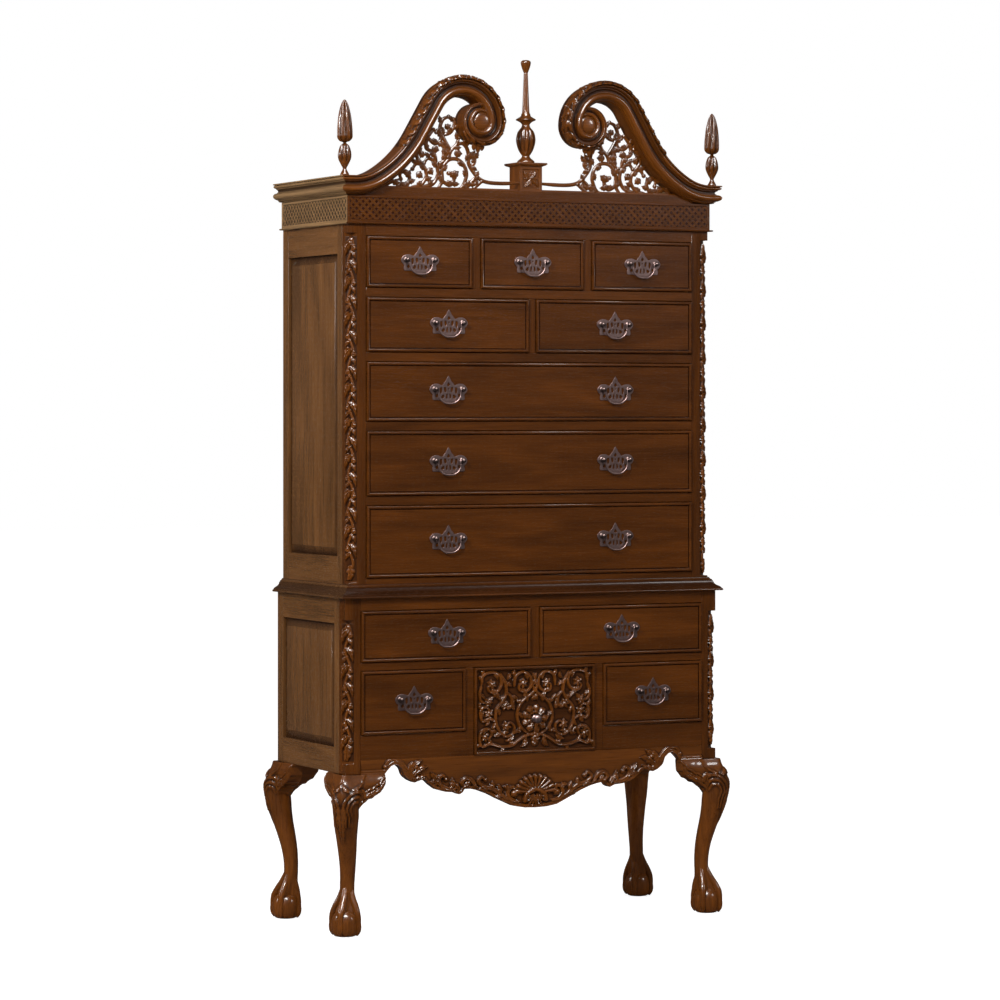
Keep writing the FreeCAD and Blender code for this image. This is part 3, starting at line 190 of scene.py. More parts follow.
class Form:
    """Surfaces gathered in millimetres until they are built as one mesh.

    Each point also carries grain, its place with the first number along the wood's
    fibres, and hollow, 0 on open wood and 1 deep in the carving; hollow darkens the colour
    as glazing and as painted shade in recesses and on shadowed faces."""

    def __init__(self):
        self.blocks = []

    def add(self, points, quads=(), fans=(), along=0, grain=None, hollow=0.0, finish=0,
            facing=None, seed=None):
        """One surface.  A closed one is turned outwards by its signed volume, an open one
        by the side that it should face."""
        points = np.asarray(points, float).reshape(-1, 3)
        quads = np.asarray(quads, int).reshape(-1, 4)
        fans = np.asarray(fans, int).reshape(-1, 3)
        if grain is None:
            grain = np.roll(points, -along, axis=1)
        middle = points.mean(axis=0)
        if seed is None:
            seed = middle @ np.array([0.31, 0.57, 0.83])
        grain = np.asarray(grain, float).reshape(-1, 3) + scatter(seed, GRAIN_REACH)
        hollow = np.broadcast_to(np.ravel(hollow), len(points)).astype(float)
        halves = np.vstack([quads[:, :3], quads[:, [0, 2, 3]], fans])
        a, b, c = (points[halves[:, step]] - middle for step in range(3))
        normals = np.cross(b - a, c - a)
        outward = (normals * a).sum() if facing is None else (normals @ np.asarray(facing)).sum()
        if outward < 0:
            quads, fans = quads[:, ::-1], fans[:, ::-1]
        self.blocks.append((points, grain, hollow, quads, fans, finish))
        return self

    def grid(self, points, ring=False, ends=False, hollow=0.0, grain=None, **marks):
        """A surface on a grid of points.  A ring's columns are joined end to end, and a fan
        may close each of its ends."""
        points = np.asarray(points, float)
        rows, columns = points.shape[:2]
        index, quads = net(rows, columns, ring)
        flat = points.reshape(-1, 3)
        hollow = np.broadcast_to(hollow, (rows, columns)).ravel()
        fans = []
        for row, step in ((0, -1), (-1, 1)) if ends else ():
            edge = index[row][::step]
            centre = np.full(len(edge) - 1, len(flat))
            flat = np.vstack([flat, points[row].mean(axis=0)])
            hollow = np.append(hollow, 0)
            if grain is not None:
                grain = np.vstack([grain.reshape(-1, 3), grain.reshape(-1, 3)[edge[0]]])
            fans.append(np.stack([centre, edge[:-1], edge[1:]], axis=1))
        fans = np.vstack(fans) if fans else ()
        return self.add(flat, quads, fans, hollow=hollow, grain=grain, **marks)

    def tube(self, points, **marks):
        """A closed solid on a row of rings."""
        return self.grid(points, ring=True, ends=True, **marks)

    def rod(self, path, section, scale=1.0, facing=(0, -1, 0), **marks):
        """A closed section swept along a path, with grain that follows the path."""
        rings = sweep(path, section, scale, facing)
        grain = np.zeros_like(rings)
        grain[..., 0] = run_of(path)[:, None]
        grain[..., 1:] = np.asarray(section, float)[None]
        return self.tube(rings, grain=grain, **marks)

    def board(self, low, high, along=0, **marks):
        """A plain board; a Bevel on the finished piece eases its edges when it is built with one.
        """
        low, high = np.asarray(low, float), np.asarray(high, float)
        ring = np.array([(0, 0), (1, 0), (1, 1), (0, 1)], float)
        points = [np.append(low[:2] + ring * (high[:2] - low[:2]), np.full((4, 1), z), axis=1)
                  for z in (low[2], high[2])]
        quads = [(0, 1, 5, 4), (1, 2, 6, 5), (2, 3, 7, 6), (3, 0, 4, 7), (3, 2, 1, 0),
                 (4, 5, 6, 7)]
        return self.add(np.vstack(points), quads, along=along, **marks)

    def changed(self, move, apart=57.0):
        """A copy with its points moved by a function and its grain read further along; a
        mirrored copy is turned round."""
        twin = Form()
        probe = move(np.vstack([np.zeros(3), np.eye(3)]))
        turned = np.linalg.det(probe[1:] - probe[0]) < 0
        for points, grain, hollow, quads, fans, finish in self.blocks:
            if turned:
                quads, fans = quads[:, ::-1], fans[:, ::-1]
            twin.blocks.append((move(points), grain + apart, hollow, quads, fans, finish))
        return twin

    def mirrored(self, axis=0):
        """A copy on the other side of the origin, along one axis."""
        return self.changed(lambda points: points * np.where(np.arange(3) == axis, -1, 1))

    def moved(self, *offset):
        """A copy moved by an offset."""
        return self.changed(lambda points: points + np.array(offset))

    def on_left_side(self, x, middle, z):
        """A copy of a form that faces forwards, turned to face left: its own left end comes
        to the back, and its own x = 0 to the middle of the side."""
        return self.changed(lambda points: np.stack(
            [points[:, 1] + x, middle - points[:, 0], points[:, 2] + z], axis=1))

    def join(self, *others):
        """The same form, with the surfaces of the others added."""
        for other in others:
            self.blocks += other.blocks
        return self

    def build(self, node, *finishes, body="root", slot="case_mahogany", bevel=0.0, sharp=35):
        """The piece that takes a node's place, in metres and in its finishes."""
        starts = np.cumsum([0] + [len(block[0]) for block in self.blocks])
        faces, kinds = [], []
        for start, block in zip(starts, self.blocks):
            for group in block[3:5]:
                faces += (group + start).tolist()
                kinds += [block[5]] * len(group)
        points, grain = (np.vstack([block[part] for block in self.blocks]) * MM
                         for part in (0, 1))
        hollow = np.concatenate([block[2] for block in self.blocks])
        mesh = bpy.data.meshes.new(node)
        mesh.from_pydata(points.tolist(), [], faces)
        clad(mesh, grain, np.clip(hollow, 0, 1), kinds, finishes, sharp)
        return hang(node, mesh, body, bevel)


def clad(mesh, grain, hollow, kinds, finishes, sharp):
    """Give a mesh its grain, its hollows (the mark of glazing and painted shade) and its
    finishes, and keep the edges sharp whose faces meet at more than an angle in degrees."""
    for name, kind, field, values in (("grain", "FLOAT_VECTOR", "vector", grain),
                                      ("hollow", "FLOAT", "value", hollow)):
        mesh.attributes.new(name, kind, "POINT").data.foreach_set(
            field, values.astype(np.float32).ravel())
    for name in finishes:
        mesh.materials.append(finish(name))
    mesh.polygons.foreach_set("material_index", np.array(kinds, np.int32))
    mesh.polygons.foreach_set("use_smooth", np.ones(len(kinds), bool))
    mesh.set_sharp_from_angle(angle=math.radians(sharp))


def hang(node, mesh, body, bevel):
    """The object of a mesh, its edges eased when a bevel is given, riding on its body.  It
    takes the place of the CAD node that it is named after; an ornament with no such node
    replaces nothing."""
    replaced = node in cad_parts
    mesh.name = node + "_dressed" if replaced else node
    piece = bpy.data.objects.new(mesh.name, mesh)
    bpy.context.scene.collection.objects.link(piece)
    if bevel:
        ease = piece.modifiers.new("eased edges", "BEVEL")
        ease.width = bevel * MM
        ease.segments = 2
        ease.limit_method = "ANGLE"
        ease.angle_limit = math.radians(40)
    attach(piece, body)
    if replaced:
        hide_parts(node)
    return piece


# ---------------------------------------------------------------- carving
class Carving:
    """Relief over a flat ground: at each point of a grid, the greatest height of all the
    strokes, leaves and bosses laid on it.  The first place of a point runs along the rows;
    the second is one line for all the columns, or a whole grid."""

    def __init__(self, u, v):
        v = np.asarray(v)
        self.u, self.v = np.broadcast_arrays(u, v[:, None] if v.ndim == 1 else v)
        self.height = np.zeros(self.u.shape)

    def near(self, points, reach):
        """Which points of the grid lie in the box round some points, widened by a reach, and
        their places."""
        low, high = points.min(axis=0) - reach, points.max(axis=0) + reach
        spot = ((self.u >= low[0]) & (self.u <= high[0])
                & (self.v >= low[1]) & (self.v <= high[1]))
        return spot, np.stack([self.u[spot], self.v[spot]], axis=1)

    def raise_to(self, spot, height):
        """Lift the ground to a height wherever it is lower."""
        self.height[spot] = np.maximum(self.height[spot], height)
        return self

    def stroke(self, line, wide, tall, gouge=0.0):
        """A ridge along a line: tall times the root of 1 - (distance / half width) squared,
        with a gouge down its middle.  Width and height may change along the line."""
        line = np.asarray(line, float)
        wide = np.broadcast_to(np.asarray(wide, float), (len(line),))
        tall = np.broadcast_to(np.asarray(tall, float), (len(line),))
        spot, at = self.near(line, wide.max())
        start, run = line[:-1], np.diff(line, axis=0)
        away = at[:, None] - start[None]
        share = np.clip((away * run).sum(-1) / np.maximum((run ** 2).sum(-1), TINY), 0, 1)
        gap = np.linalg.norm(away - share[..., None] * run, axis=-1)
        half = wide[:-1] + share * np.diff(wide)
        best = np.argmin(gap / np.maximum(half, TINY), axis=1)
        rows = np.arange(len(at))
        ratio = gap[rows, best] / np.maximum(half[rows, best], TINY)
        crest = (tall[:-1] + share * np.diff(tall))[rows, best]
        round_top = np.sqrt(np.clip(1 - ratio ** 2, 0, 1))
        return self.raise_to(spot, crest * round_top * (1 - gouge * np.exp(-(ratio / 0.4) ** 2)))

    def leaf(self, root, tip, wide, tall, lobes, bend=0.0):
        """An acanthus leaf.  Its half width follows a sine that peaks near the root, cut into
        lobes; it arches across, with a sunk midrib and a vein out to each lobe."""
        root, tip = np.asarray(root, float), np.asarray(tip, float)
        length = np.linalg.norm(tip - root)
        ahead = (tip - root) / length
        spot, at = self.near(np.array([root, tip]), wide + abs(bend) * length + 1)
        at = at - root
        t = at @ ahead / length
        inside = np.clip(t, 0, 1)
        s = at @ left_of(ahead) - bend * length * 4 * inside * (1 - inside)
        beat = np.abs(np.cos(np.pi * lobes * (inside - 0.12 * np.abs(s) / wide)))
        half = wide * np.sin(np.pi * inside ** 0.7) ** 0.8 * (0.68 + 0.32 * beat)
        ratio = np.abs(s) / np.maximum(half, TINY)
        arch = np.sqrt(np.clip(1 - ratio ** 2, 0, 1)) * ((t > 0) & (t < 1))
        rib = 0.34 * np.exp(-(s / (0.1 * wide)) ** 2)
        vein = 0.2 * (1 - beat) * np.clip(ratio, 0, 1)
        return self.raise_to(spot, tall * arch * (1 - rib - vein))

    def boss(self, centre, radius, tall, petals=0):
        """A round boss; with petals, it is cut into a flower by radial furrows."""
        centre = np.asarray(centre, float)
        spot, at = self.near(centre[None], radius)
        at = at - centre
        ratio = np.linalg.norm(at, axis=1) / radius
        dome = np.sqrt(np.clip(1 - ratio ** 2, 0, 1))
        if petals:
            turn = np.arctan2(at[:, 1], at[:, 0])
            dome = dome * (0.62 + 0.38 * np.abs(np.cos(petals * turn / 2)))
        return self.raise_to(spot, tall * dome)

    def hollows(self, reach=3, depth=2.0, ground=0.12):
        """How far each point lies under the average of its neighbours, 1 at the depth, with
        a tone of its own on the flat ground; it darkens the carving as painted shade and as
        glazing in its recesses.  The average is a box filter run twice along each axis, as a
        difference of running totals."""
        smooth, window = self.height, 2 * reach + 1
        for axis in (0, 0, 1, 1):
            padding = [(reach, reach) if axis == side else (0, 0) for side in (0, 1)]
            padded = np.pad(smooth, padding, mode="edge")
            total = np.cumsum(np.insert(padded, 0, 0, axis=axis), axis=axis)
            low = np.arange(smooth.shape[axis])
            smooth = (np.take(total, low + window, axis=axis)
                      - np.take(total, low, axis=axis)) / window
        return np.clip((smooth - self.height) / depth + ground * (self.height < 0.3), 0, 1)


# ---------------------------------------------------------------- finishes
class Wire:
    """A socket that arithmetic can be written with; each operator adds a Math node."""

    def __init__(self, graph, socket):
        self.graph, self.socket = graph, socket

    def __add__(self, other):
        return self.graph.maths("ADD", self, other)

    def __mul__(self, other):
        return self.graph.maths("MULTIPLY", self, other)

    def __sub__(self, other):
        return self.graph.maths("SUBTRACT", self, other)

    def __rsub__(self, other):
        return self.graph.maths("SUBTRACT", other, self)

    __radd__ = __add__
    __rmul__ = __mul__


class Graph:
    """The node tree of one finish."""

    def __init__(self, name, owner=None):
        self.owner = owner or bpy.data.materials.new(name)
        self.owner.use_nodes = True
        self.tree = self.owner.node_tree
        self.tree.nodes.clear()

    def add(self, kind, values=None, out=0, stops=None, **settings):
        """A node of one type, with its settings first, then its sockets' values or links."""
        node = self.tree.nodes.new("ShaderNode" + kind)
        for key, value in settings.items():
            setattr(node, key, value)
        if stops:
            ramp = node.color_ramp.elements
            while len(ramp) < len(stops):
                ramp.new(0.5)
            for element, (place, colour) in zip(ramp, stops):
                element.position = place
                element.color = colour
        for key, value in (values or {}).items():
            if isinstance(value, Wire):
                self.tree.links.new(value.socket, node.inputs[key])
            else:
                node.inputs[key].default_value = value
        return Wire(self, node.outputs[out]) if node.outputs else node

    def maths(self, operation, first, second=0.0, clamp=False):
        """A Math node on two values."""
        return self.add("Math", {0: first, 1: second}, operation=operation, use_clamp=clamp)

    def mix(self, factor, first, second):
        """A blend of two colours, on the Mix node's colour sockets."""
        return self.add("Mix", {0: factor, 6: first, 7: second}, out=2, data_type="RGBA")

    def noise(self, place, stretch, detail=3.0, rough=0.55, twist=0.0):
        """Noise with so many cycles to the metre along each axis of a place."""
        scaled = self.add("VectorMath", {0: place, 1: stretch}, operation="MULTIPLY")
        return self.add("TexNoise", {"Vector": scaled, "Scale": 1.0, "Detail": detail,
                                     "Roughness": rough, "Distortion": twist})

    def mark(self, name, out):
        """One of the marks that every point carries."""
        return self.add("Attribute", attribute_name=name, out=out)

    def close(self, **values):
        """The material, with its surface's values by socket name, underscores for spaces."""
        named = {key.replace("_", " "): value for key, value in values.items()}
        surface = self.add("BsdfPrincipled", named)
        self.add("OutputMaterial", {"Surface": surface})
        return self.owner


def rgb(red, green, blue):
    """A colour given as it looks on screen, 0 to 255, as the linear colour that it is."""
    parts = np.array([red, green, blue]) / 255
    linear = np.where(parts <= 0.04045, parts / 12.92, ((parts + 0.055) / 1.055) ** 2.4)
    return (*linear.tolist(), 1.0)


def mahogany(name, pale, middle, dark, glaze_and_shade, gloss, figure):
    """Polished mahogany: a broad ribbon figure, fine lines and short dark pores that all run
    with the grain, and a dark glazing colour laid in the pores and wherever the hollow mark
    is high, for glazing left in the carving and for painted shade in recesses and on
    shadowed faces, where there is no polish either.  The tone is figure x ribbon +
    (0.68 - figure) x bands + 0.32 x lines."""
    graph = Graph(name)
    place = graph.mark("grain", "Vector")
    hollow = graph.mark("hollow", "Fac")
    ribbon = graph.noise(place, (2.4, 17.0, 17.0), detail=4, twist=0.7)
    bands = graph.noise(place, (5.0, 95.0, 95.0), detail=4, twist=0.4)
    lines = graph.noise(place, (12.0, 520.0, 520.0), detail=3)
    pores = graph.noise(place, (70.0, 1700.0, 1700.0), detail=2)
    tone = ribbon * figure + bands * (0.68 - figure) + lines * 0.32
    wood = graph.add("ValToRGB", {"Fac": tone}, stops=[(0.36, dark), (0.5, middle),
                                                       (0.64, pale)])
    open_pores = graph.maths("MULTIPLY", pores - 0.58, 7.0, clamp=True)
    wood = graph.mix(open_pores * 0.4, wood, glaze_and_shade)
    # glazing and painted shade: the hollow mark blends the wood towards the dark glazing colour
    wood = graph.mix(graph.maths("MULTIPLY", hollow, 0.85, clamp=True), wood, glaze_and_shade)
    rough = gloss + lines * 0.1 + open_pores * 0.1
    height = lines * 0.35 - open_pores * 0.5
    bump = graph.add("Bump", {"Strength": 0.25, "Distance": 0.0004, "Height": height})
    return graph.close(Base_Color=wood, Roughness=rough, Normal=bump, Specular_IOR_Level=0.26,
                       Coat_Weight=0.5 - hollow * 0.5, Coat_Roughness=0.06)


def raw_wood(name, pale, dark):
    """Plain unpolished wood for the parts inside: soft bands and fine lines."""
    graph = Graph(name)
    place = graph.mark("grain", "Vector")
    bands = graph.noise(place, (3.0, 60.0, 60.0), detail=4, twist=0.5)
    lines = graph.noise(place, (18.0, 600.0, 600.0), detail=3)
    tone = bands * 0.65 + lines * 0.35
    wood = graph.add("ValToRGB", {"Fac": tone}, stops=[(0.34, dark), (0.66, pale)])
    bump = graph.add("Bump", {"Strength": 0.3, "Distance": 0.0004, "Height": lines})
    return graph.close(Base_Color=wood, Roughness=0.62 + bands * 0.15, Normal=bump,
                       Specular_IOR_Level=0.3)


def old_metal(name, bright, dull, polish):
    """Antique metal: worn bright where it stands proud, dull with a fine mottle elsewhere."""
    graph = Graph(name)
    place = graph.add("TexCoord", out="Object")
    hollow = graph.mark("hollow", "Fac")
    mottle = graph.noise(place, (380.0, 380.0, 380.0), detail=5, rough=0.65)
    cloud = graph.noise(place, (90.0, 90.0, 90.0), detail=3)
    worn = graph.maths("SUBTRACT", mottle * 0.9 + cloud * 0.6 + polish, hollow, clamp=True)
    metal = graph.mix(worn, dull, bright)
    bump = graph.add("Bump", {"Strength": 0.3, "Distance": 0.0003, "Height": mottle})
    return graph.close(Base_Color=metal, Metallic=0.9, Roughness=0.5 - worn * 0.22,
                       Normal=bump)


FINISHES = {}
WOODS = {  # material's name, roughness of the polish, share of the ribbon figure
    "front": ("front mahogany", 0.2, 0.5),
    "carved": ("carved mahogany", 0.24, 0.3),
    # partly painted sheen: the side wood is paler and greyer than the front wood, partly the
    # sides' own tone and partly for the grazing sheen on them
    "side": ("side mahogany", 0.2, 0.5),
    # painted sheen: a paler copy of the mahogany for the side mouldings, for the grazing sheen
    # that lies on them
    "pale": ("sunned mahogany", 0.3, 0.5),
}
METALS = {  # material's name, worn colour, dull colour, how far it is worn bright
    "metal": ("antique pewter", rgb(160, 134, 130), rgb(88, 70, 66), -0.25),
    "dark": ("dark metal", rgb(120, 102, 98), rgb(50, 38, 34), -0.2),
}


def finish(name):
    """A finish by its name, made when it is first asked for.  A wood's pale and dark tones
    are its own colour times 1.5 and 0.6."""
    if name in FINISHES:
        return FINISHES[name]
    if name in WOODS:
        shades = bpy.context.scene.highboy_finishes
        title, gloss, figure = WOODS[name]
        tones = [(*(min(part * share, 1.0) for part in getattr(shades, name)), 1.0)
                 for share in (1.5, 1.0, 0.6)]
        made = mahogany(title, *tones, (*shades.glaze_and_shade, 1.0), gloss, figure)
    elif name in METALS:
        made = old_metal(*METALS[name])
    else:
        made = raw_wood("inner wood", rgb(176, 132, 88), rgb(128, 88, 52))
    FINISHES[name] = made
    return made


# ---------------------------------------------------------------- case and frames
def dressed_copy(node, wood):
    """A copy of a CAD node with its doubles merged and flat faces joined, so that its edges
    can be eased.  Each loose board's grain runs along its longest side."""
    work = bmesh.new()
    work.from_mesh(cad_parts[node].data)
    bmesh.ops.remove_doubles(work, verts=work.verts, dist=1e-5)
    bmesh.ops.dissolve_limit(work, angle_limit=math.radians(0.5), verts=work.verts,
                             edges=work.edges)
    mesh = bpy.data.meshes.new(node)
    work.to_mesh(mesh)
    work.free()
    count = len(mesh.vertices)
    place = np.zeros(count * 3)
    mesh.vertices.foreach_get("co", place)
    place = place.reshape(-1, 3)
    pairs = np.zeros(len(mesh.edges) * 2, np.int32)
    mesh.edges.foreach_get("vertices", pairs)
    pairs = pairs.reshape(-1, 2)
    board = np.arange(count)
    while True:
        lowest = board.copy()
        np.minimum.at(lowest, pairs[:, 0], board[pairs[:, 1]])
        np.minimum.at(lowest, pairs[:, 1], board[pairs[:, 0]])
        if (lowest == board).all():
            break
        board = lowest
    grain = np.zeros_like(place)
    for number in np.unique(board):
        spot = board == number
        longest = int(np.argmax(np.ptp(place[spot], axis=0)))
        shift = scatter(place[spot].mean() * 900, GRAIN_REACH * MM)
        grain[spot] = np.roll(place[spot], -longest, axis=1) + shift
    clad(mesh, grain, np.zeros(count), np.zeros(len(mesh.polygons)), (wood,), sharp=30)
    return hang(node, mesh, "root", bevel=0.8)


def framed_front(form, low, high, thick, profile, ground=0.0, shade=None, **marks):
    """A front with a frame round it.  The profile gives (distance in from the edge, depth
    behind the face) pairs; each pair is a rectangle, and the rectangles are joined from the
    back to the field, which closes the front and may be darkened with painted shade.
    Rings sunk below the field get painted shade by their depth; a shade for each pair
    takes the place of that painted darkening."""
    profile = np.vstack([[(0, thick)], profile])
    inset, depth = profile[:, :1], profile[:, 1:]
    left, right, foot, head = low[0] + inset, high[0] - inset, low[2] + inset, high[2] - inset
    rings = np.stack([np.hstack([left, right, right, left]), np.repeat(low[1] + depth, 4, axis=1),
                      np.hstack([foot, foot, head, head])], axis=2)
    index, quads = net(len(rings), 4, True)
    ends = np.array([index[0, 3::-1], index[-1, :4]])
    # painted shade: rings sunk below the field are darkened by their depth, and the field by
    # ground
    painted_ring_shade = np.clip(profile[:, 1] - profile[-1, 1], 0, 1) * (profile[:, 0] > 1)
    painted_ring_shade[-1] = ground
    if shade is not None:
        painted_ring_shade = np.r_[0, shade]
    return form.add(rings.reshape(-1, 3), np.vstack([quads, ends]),
                    hollow=np.repeat(painted_ring_shade, 4), **marks)


def panelled_sides(node, top_rail, foot_rail):
    """Both sides of a case: two stiles and two rails round a raised and fielded panel, which
    sits deep in its frame.  The grain is upright in the stiles and the panel."""
    low, high = extent(node)
    end = (high[1] - low[1]) / 2
    tall = high[2] - low[2]
    thick, back_stile, front_stile, panel_thick = 20.0, 36.0, 30.0, 17.0
    left, right = -end + back_stile, end - front_stile
    foot, head = foot_rail, tall - top_rail
    side = Form()
    side.board((-end, 0, 0), (left, thick, tall), along=2)
    side.board((right, 0, 0), (end, thick, tall), along=2)
    side.board((left, 0, head), (right, thick, tall))
    side.board((left, 0, 0), (right, thick, foot))
    # painted shade: the gutter and the foot of the bevel round the panel are darkened, where the
    # stiles would shade them
    panel = [(0, 7.5), (3, 7.5), (3.6, 7), (20, 3.6), (20.6, 2.2), (21.6, 2)]
    framed_front(side, (left, 0, foot), (right, thick, head), panel_thick, panel,
                 shade=(1, 1, 0.95, 0.45, 0.3, 0), along=2)
    side = side.on_left_side(low[0], (low[1] + high[1]) / 2, low[2])
    return side.join(side.mirrored()).build(node, "side", bevel=1.0)


# ---------------------------------------------------------------- drawers
FRONT_THICK = 21.0
FRONT_LIFT = 1.2  # from the foot of a drawer's sides up to its front


def bead_profile(wide, deep):
    """A rounded bead so wide at the edge, a quirk inside it, then the field, sunk so deep
    below the bead."""
    round_end = wide - 1.4
    radius = round_end / 2
    theta = np.radians(np.linspace(180, 0, 9))
    bead = np.stack([radius + radius * np.cos(theta), radius * 0.9 * (1 - np.sin(theta))], axis=1)
    quirk = [(round_end, deep + 1.1), (wide + 0.4, deep + 1.3), (wide + 1.4, deep)]
    return np.vstack([bead, quirk])


def drawer_form(name, profile, seed):
    """A drawer's front with its sides, back and bottom behind it, and the front's corners."""
    low, high = extent(name)
    runner = low[2]
    low[2] += FRONT_LIFT
    form = Form()
    framed_front(form, low, high, FRONT_THICK, profile, seed=seed)
    side, rear, floor, floor_z = 12.0, 11.0, 6.0, low[2] + 10
    near, far = low[1] + FRONT_THICK, high[1]
    left, right = low[0] + 2, high[0] - 2
    for x in (left, right - side):
        form.board((x, near, runner), (x + side, far, high[2] - 8), along=1, finish=1)
    left, right = left + side, right - side
    form.board((left, far - rear, floor_z + floor), (right, far, high[2] - 20), finish=1)
    form.board((left, near, floor_z), (right, far, floor_z + floor), finish=1)
    return form, low, high


def drawer(name):
    """One drawer with its beaded front."""
    low = extent(name)[0]
    seed = low[2] * 0.07 + low[0]  # its own for every drawer
    # painted shade: framed_front darkens the quirk inside the bead
    form = drawer_form(name, bead_profile(wide=9.0, deep=4.0), seed)[0]
    return form.build(name, "front", "inner", body=name, slot="drawer_mahogany")


def scroll_pattern(work):
    """The carved drawer in scrolls and leaves about its middle: two tall curls on each side
    of the top, a long stem that sweeps down each side, low curls in the corners, and a
    pointed frame with a ring of petals round the knob."""
    stems = [
        [(-150, 66), (-146, 88), (-122, 96), (-100, 88), (-94, 66), (-106, 48), (-124, 46),
         (-132, 58), (-122, 66)],
        [(-96, 92), (-84, 70), (-80, 44), (-92, 22), (-108, 2), (-110, -26), (-100, -52),
         (-82, -66), (-62, -60), (-58, -42), (-70, -32), (-80, -40)],
        [(-58, 60), (-54, 84), (-34, 95), (-14, 84), (-10, 62), (-24, 46), (-42, 48),
         (-44, 62), (-34, 66)],
        [(-10, 66), (-2, 48), (-14, 36), (-36, 20), (-48, -2), (-48, -28), (-36, -48),
         (-18, -62), (0, -70)],
        [(0, -60), (-24, -66), (-44, -76), (-66, -90), (-96, -92), (-126, -84), (-148, -90),
         (-156, -72), (-150, -52), (-132, -46), (-122, -58), (-130, -70), (-140, -66)],
        [(-112, -28), (-128, -20), (-146, -26), (-154, -8), (-146, 8), (-132, 6), (-130, -6)],
        [(-150, 62), (-156, 40), (-148, 22), (-132, 20)],
        [(-78, 44), (-66, 30), (-66, 12), (-76, 4), (-84, 12)],
    ]
    for side in (1, -1):
        flip = np.array([side, 1])
        for points in stems:
            count = 9 * len(points)
            line = curve(np.array(points) * flip, count)
            share = np.linspace(0, 1, count)
            work.stroke(line, 4.1 * np.interp(share, [0, 0.1, 0.7, 1], [0.5, 1, 0.95, 0.6]),
                        7.5, gouge=0.3)
            work.boss(line[-1], 5.0, 8.5)
            ending = np.arctan2(*(line[-1] - line[-6])[::-1])
            for fan in (-1.9, -0.9, 0.1, 1.1, 2.1):
                out = ray(ending + fan)
                work.leaf(line[-1] + 2 * out, line[-1] + 14 * out, 4.8, 7.0, 2)
            for spot in range(12, count - 10, 15):
                ahead = unit(line[spot + 1] - line[spot])
                aside = left_of(ahead) * (-1) ** (spot // 15) * side
                work.leaf(line[spot], line[spot] + 15 * aside + 14 * ahead, 6.5, 6.0, 3,
                          0.12 * side)
        for root, tip, wide in (((-118, 44), (-98, 26), 8), ((-30, 44), (-22, 18), 8),
                                ((-130, 16), (-116, 36), 7), ((-60, 0), (-58, 26), 7),
                                ((-96, -56), (-118, -64), 7), ((-60, -66), (-84, -78), 7),
                                ((-22, -78), (-40, -94), 7), ((-158, 88), (-146, 70), 6),
                                ((-70, 92), (-78, 76), 6), ((-4, 92), (-2, 68), 6)):
            work.leaf(flip * root, flip * tip, wide, 6.5, 4, 0.12 * side)
    hub = np.array([0.0, -24.0])
    for angle in np.radians(np.arange(0, 360, 40)):
        out = ray(angle)
        work.boss(hub + out * 27, 9.6, 7.0)
        work.leaf(hub + out * 12, hub + out * 38, 8.5, 8.5, 2)
    work.boss(hub, 14, 5.0, petals=9)
    work.boss((0, -84), 10, 7.0, petals=6)
    work.boss((0, 30), 7, 7.5)
    return work


def carved_drawer():
    """The deep middle drawer: a beaded rim round a field carved in relief, which runs a
    little way under the rim."""
    rim, sunk, seed = 8.0, 9.0, 3.0
    profile = np.vstack([bead_profile(rim, 5.0), [(rim + 0.6, sunk)]])
    form, low, high = drawer_form(CARVED, profile, seed)
    middle_z = (low[2] + high[2]) / 2
    u = np.linspace(low[0] + rim - 1, high[0] - rim + 1, 300)
    v = np.linspace(low[2] + rim - 1, high[2] - rim + 1, 190)
    work = scroll_pattern(Carving(u, v - middle_z))
    relief = np.stack([work.u, low[1] + sunk - 0.2 - work.height, work.v + middle_z], axis=2)
    # painted shade and glazing in the carving's hollows, and on its flat ground
    form.grid(relief, facing=(0, -1, 0), hollow=work.hollows(ground=0.7), finish=2, seed=seed)
    return form.build(CARVED, "front", "inner", "carved", body=CARVED, slot="drawer_mahogany")


# ---------------------------------------------------------------- handles
POST_X = 38.0  # from the middle of a handle to each post
PLATE_THICK = 2.0
PIN_RADIUS = 2.0


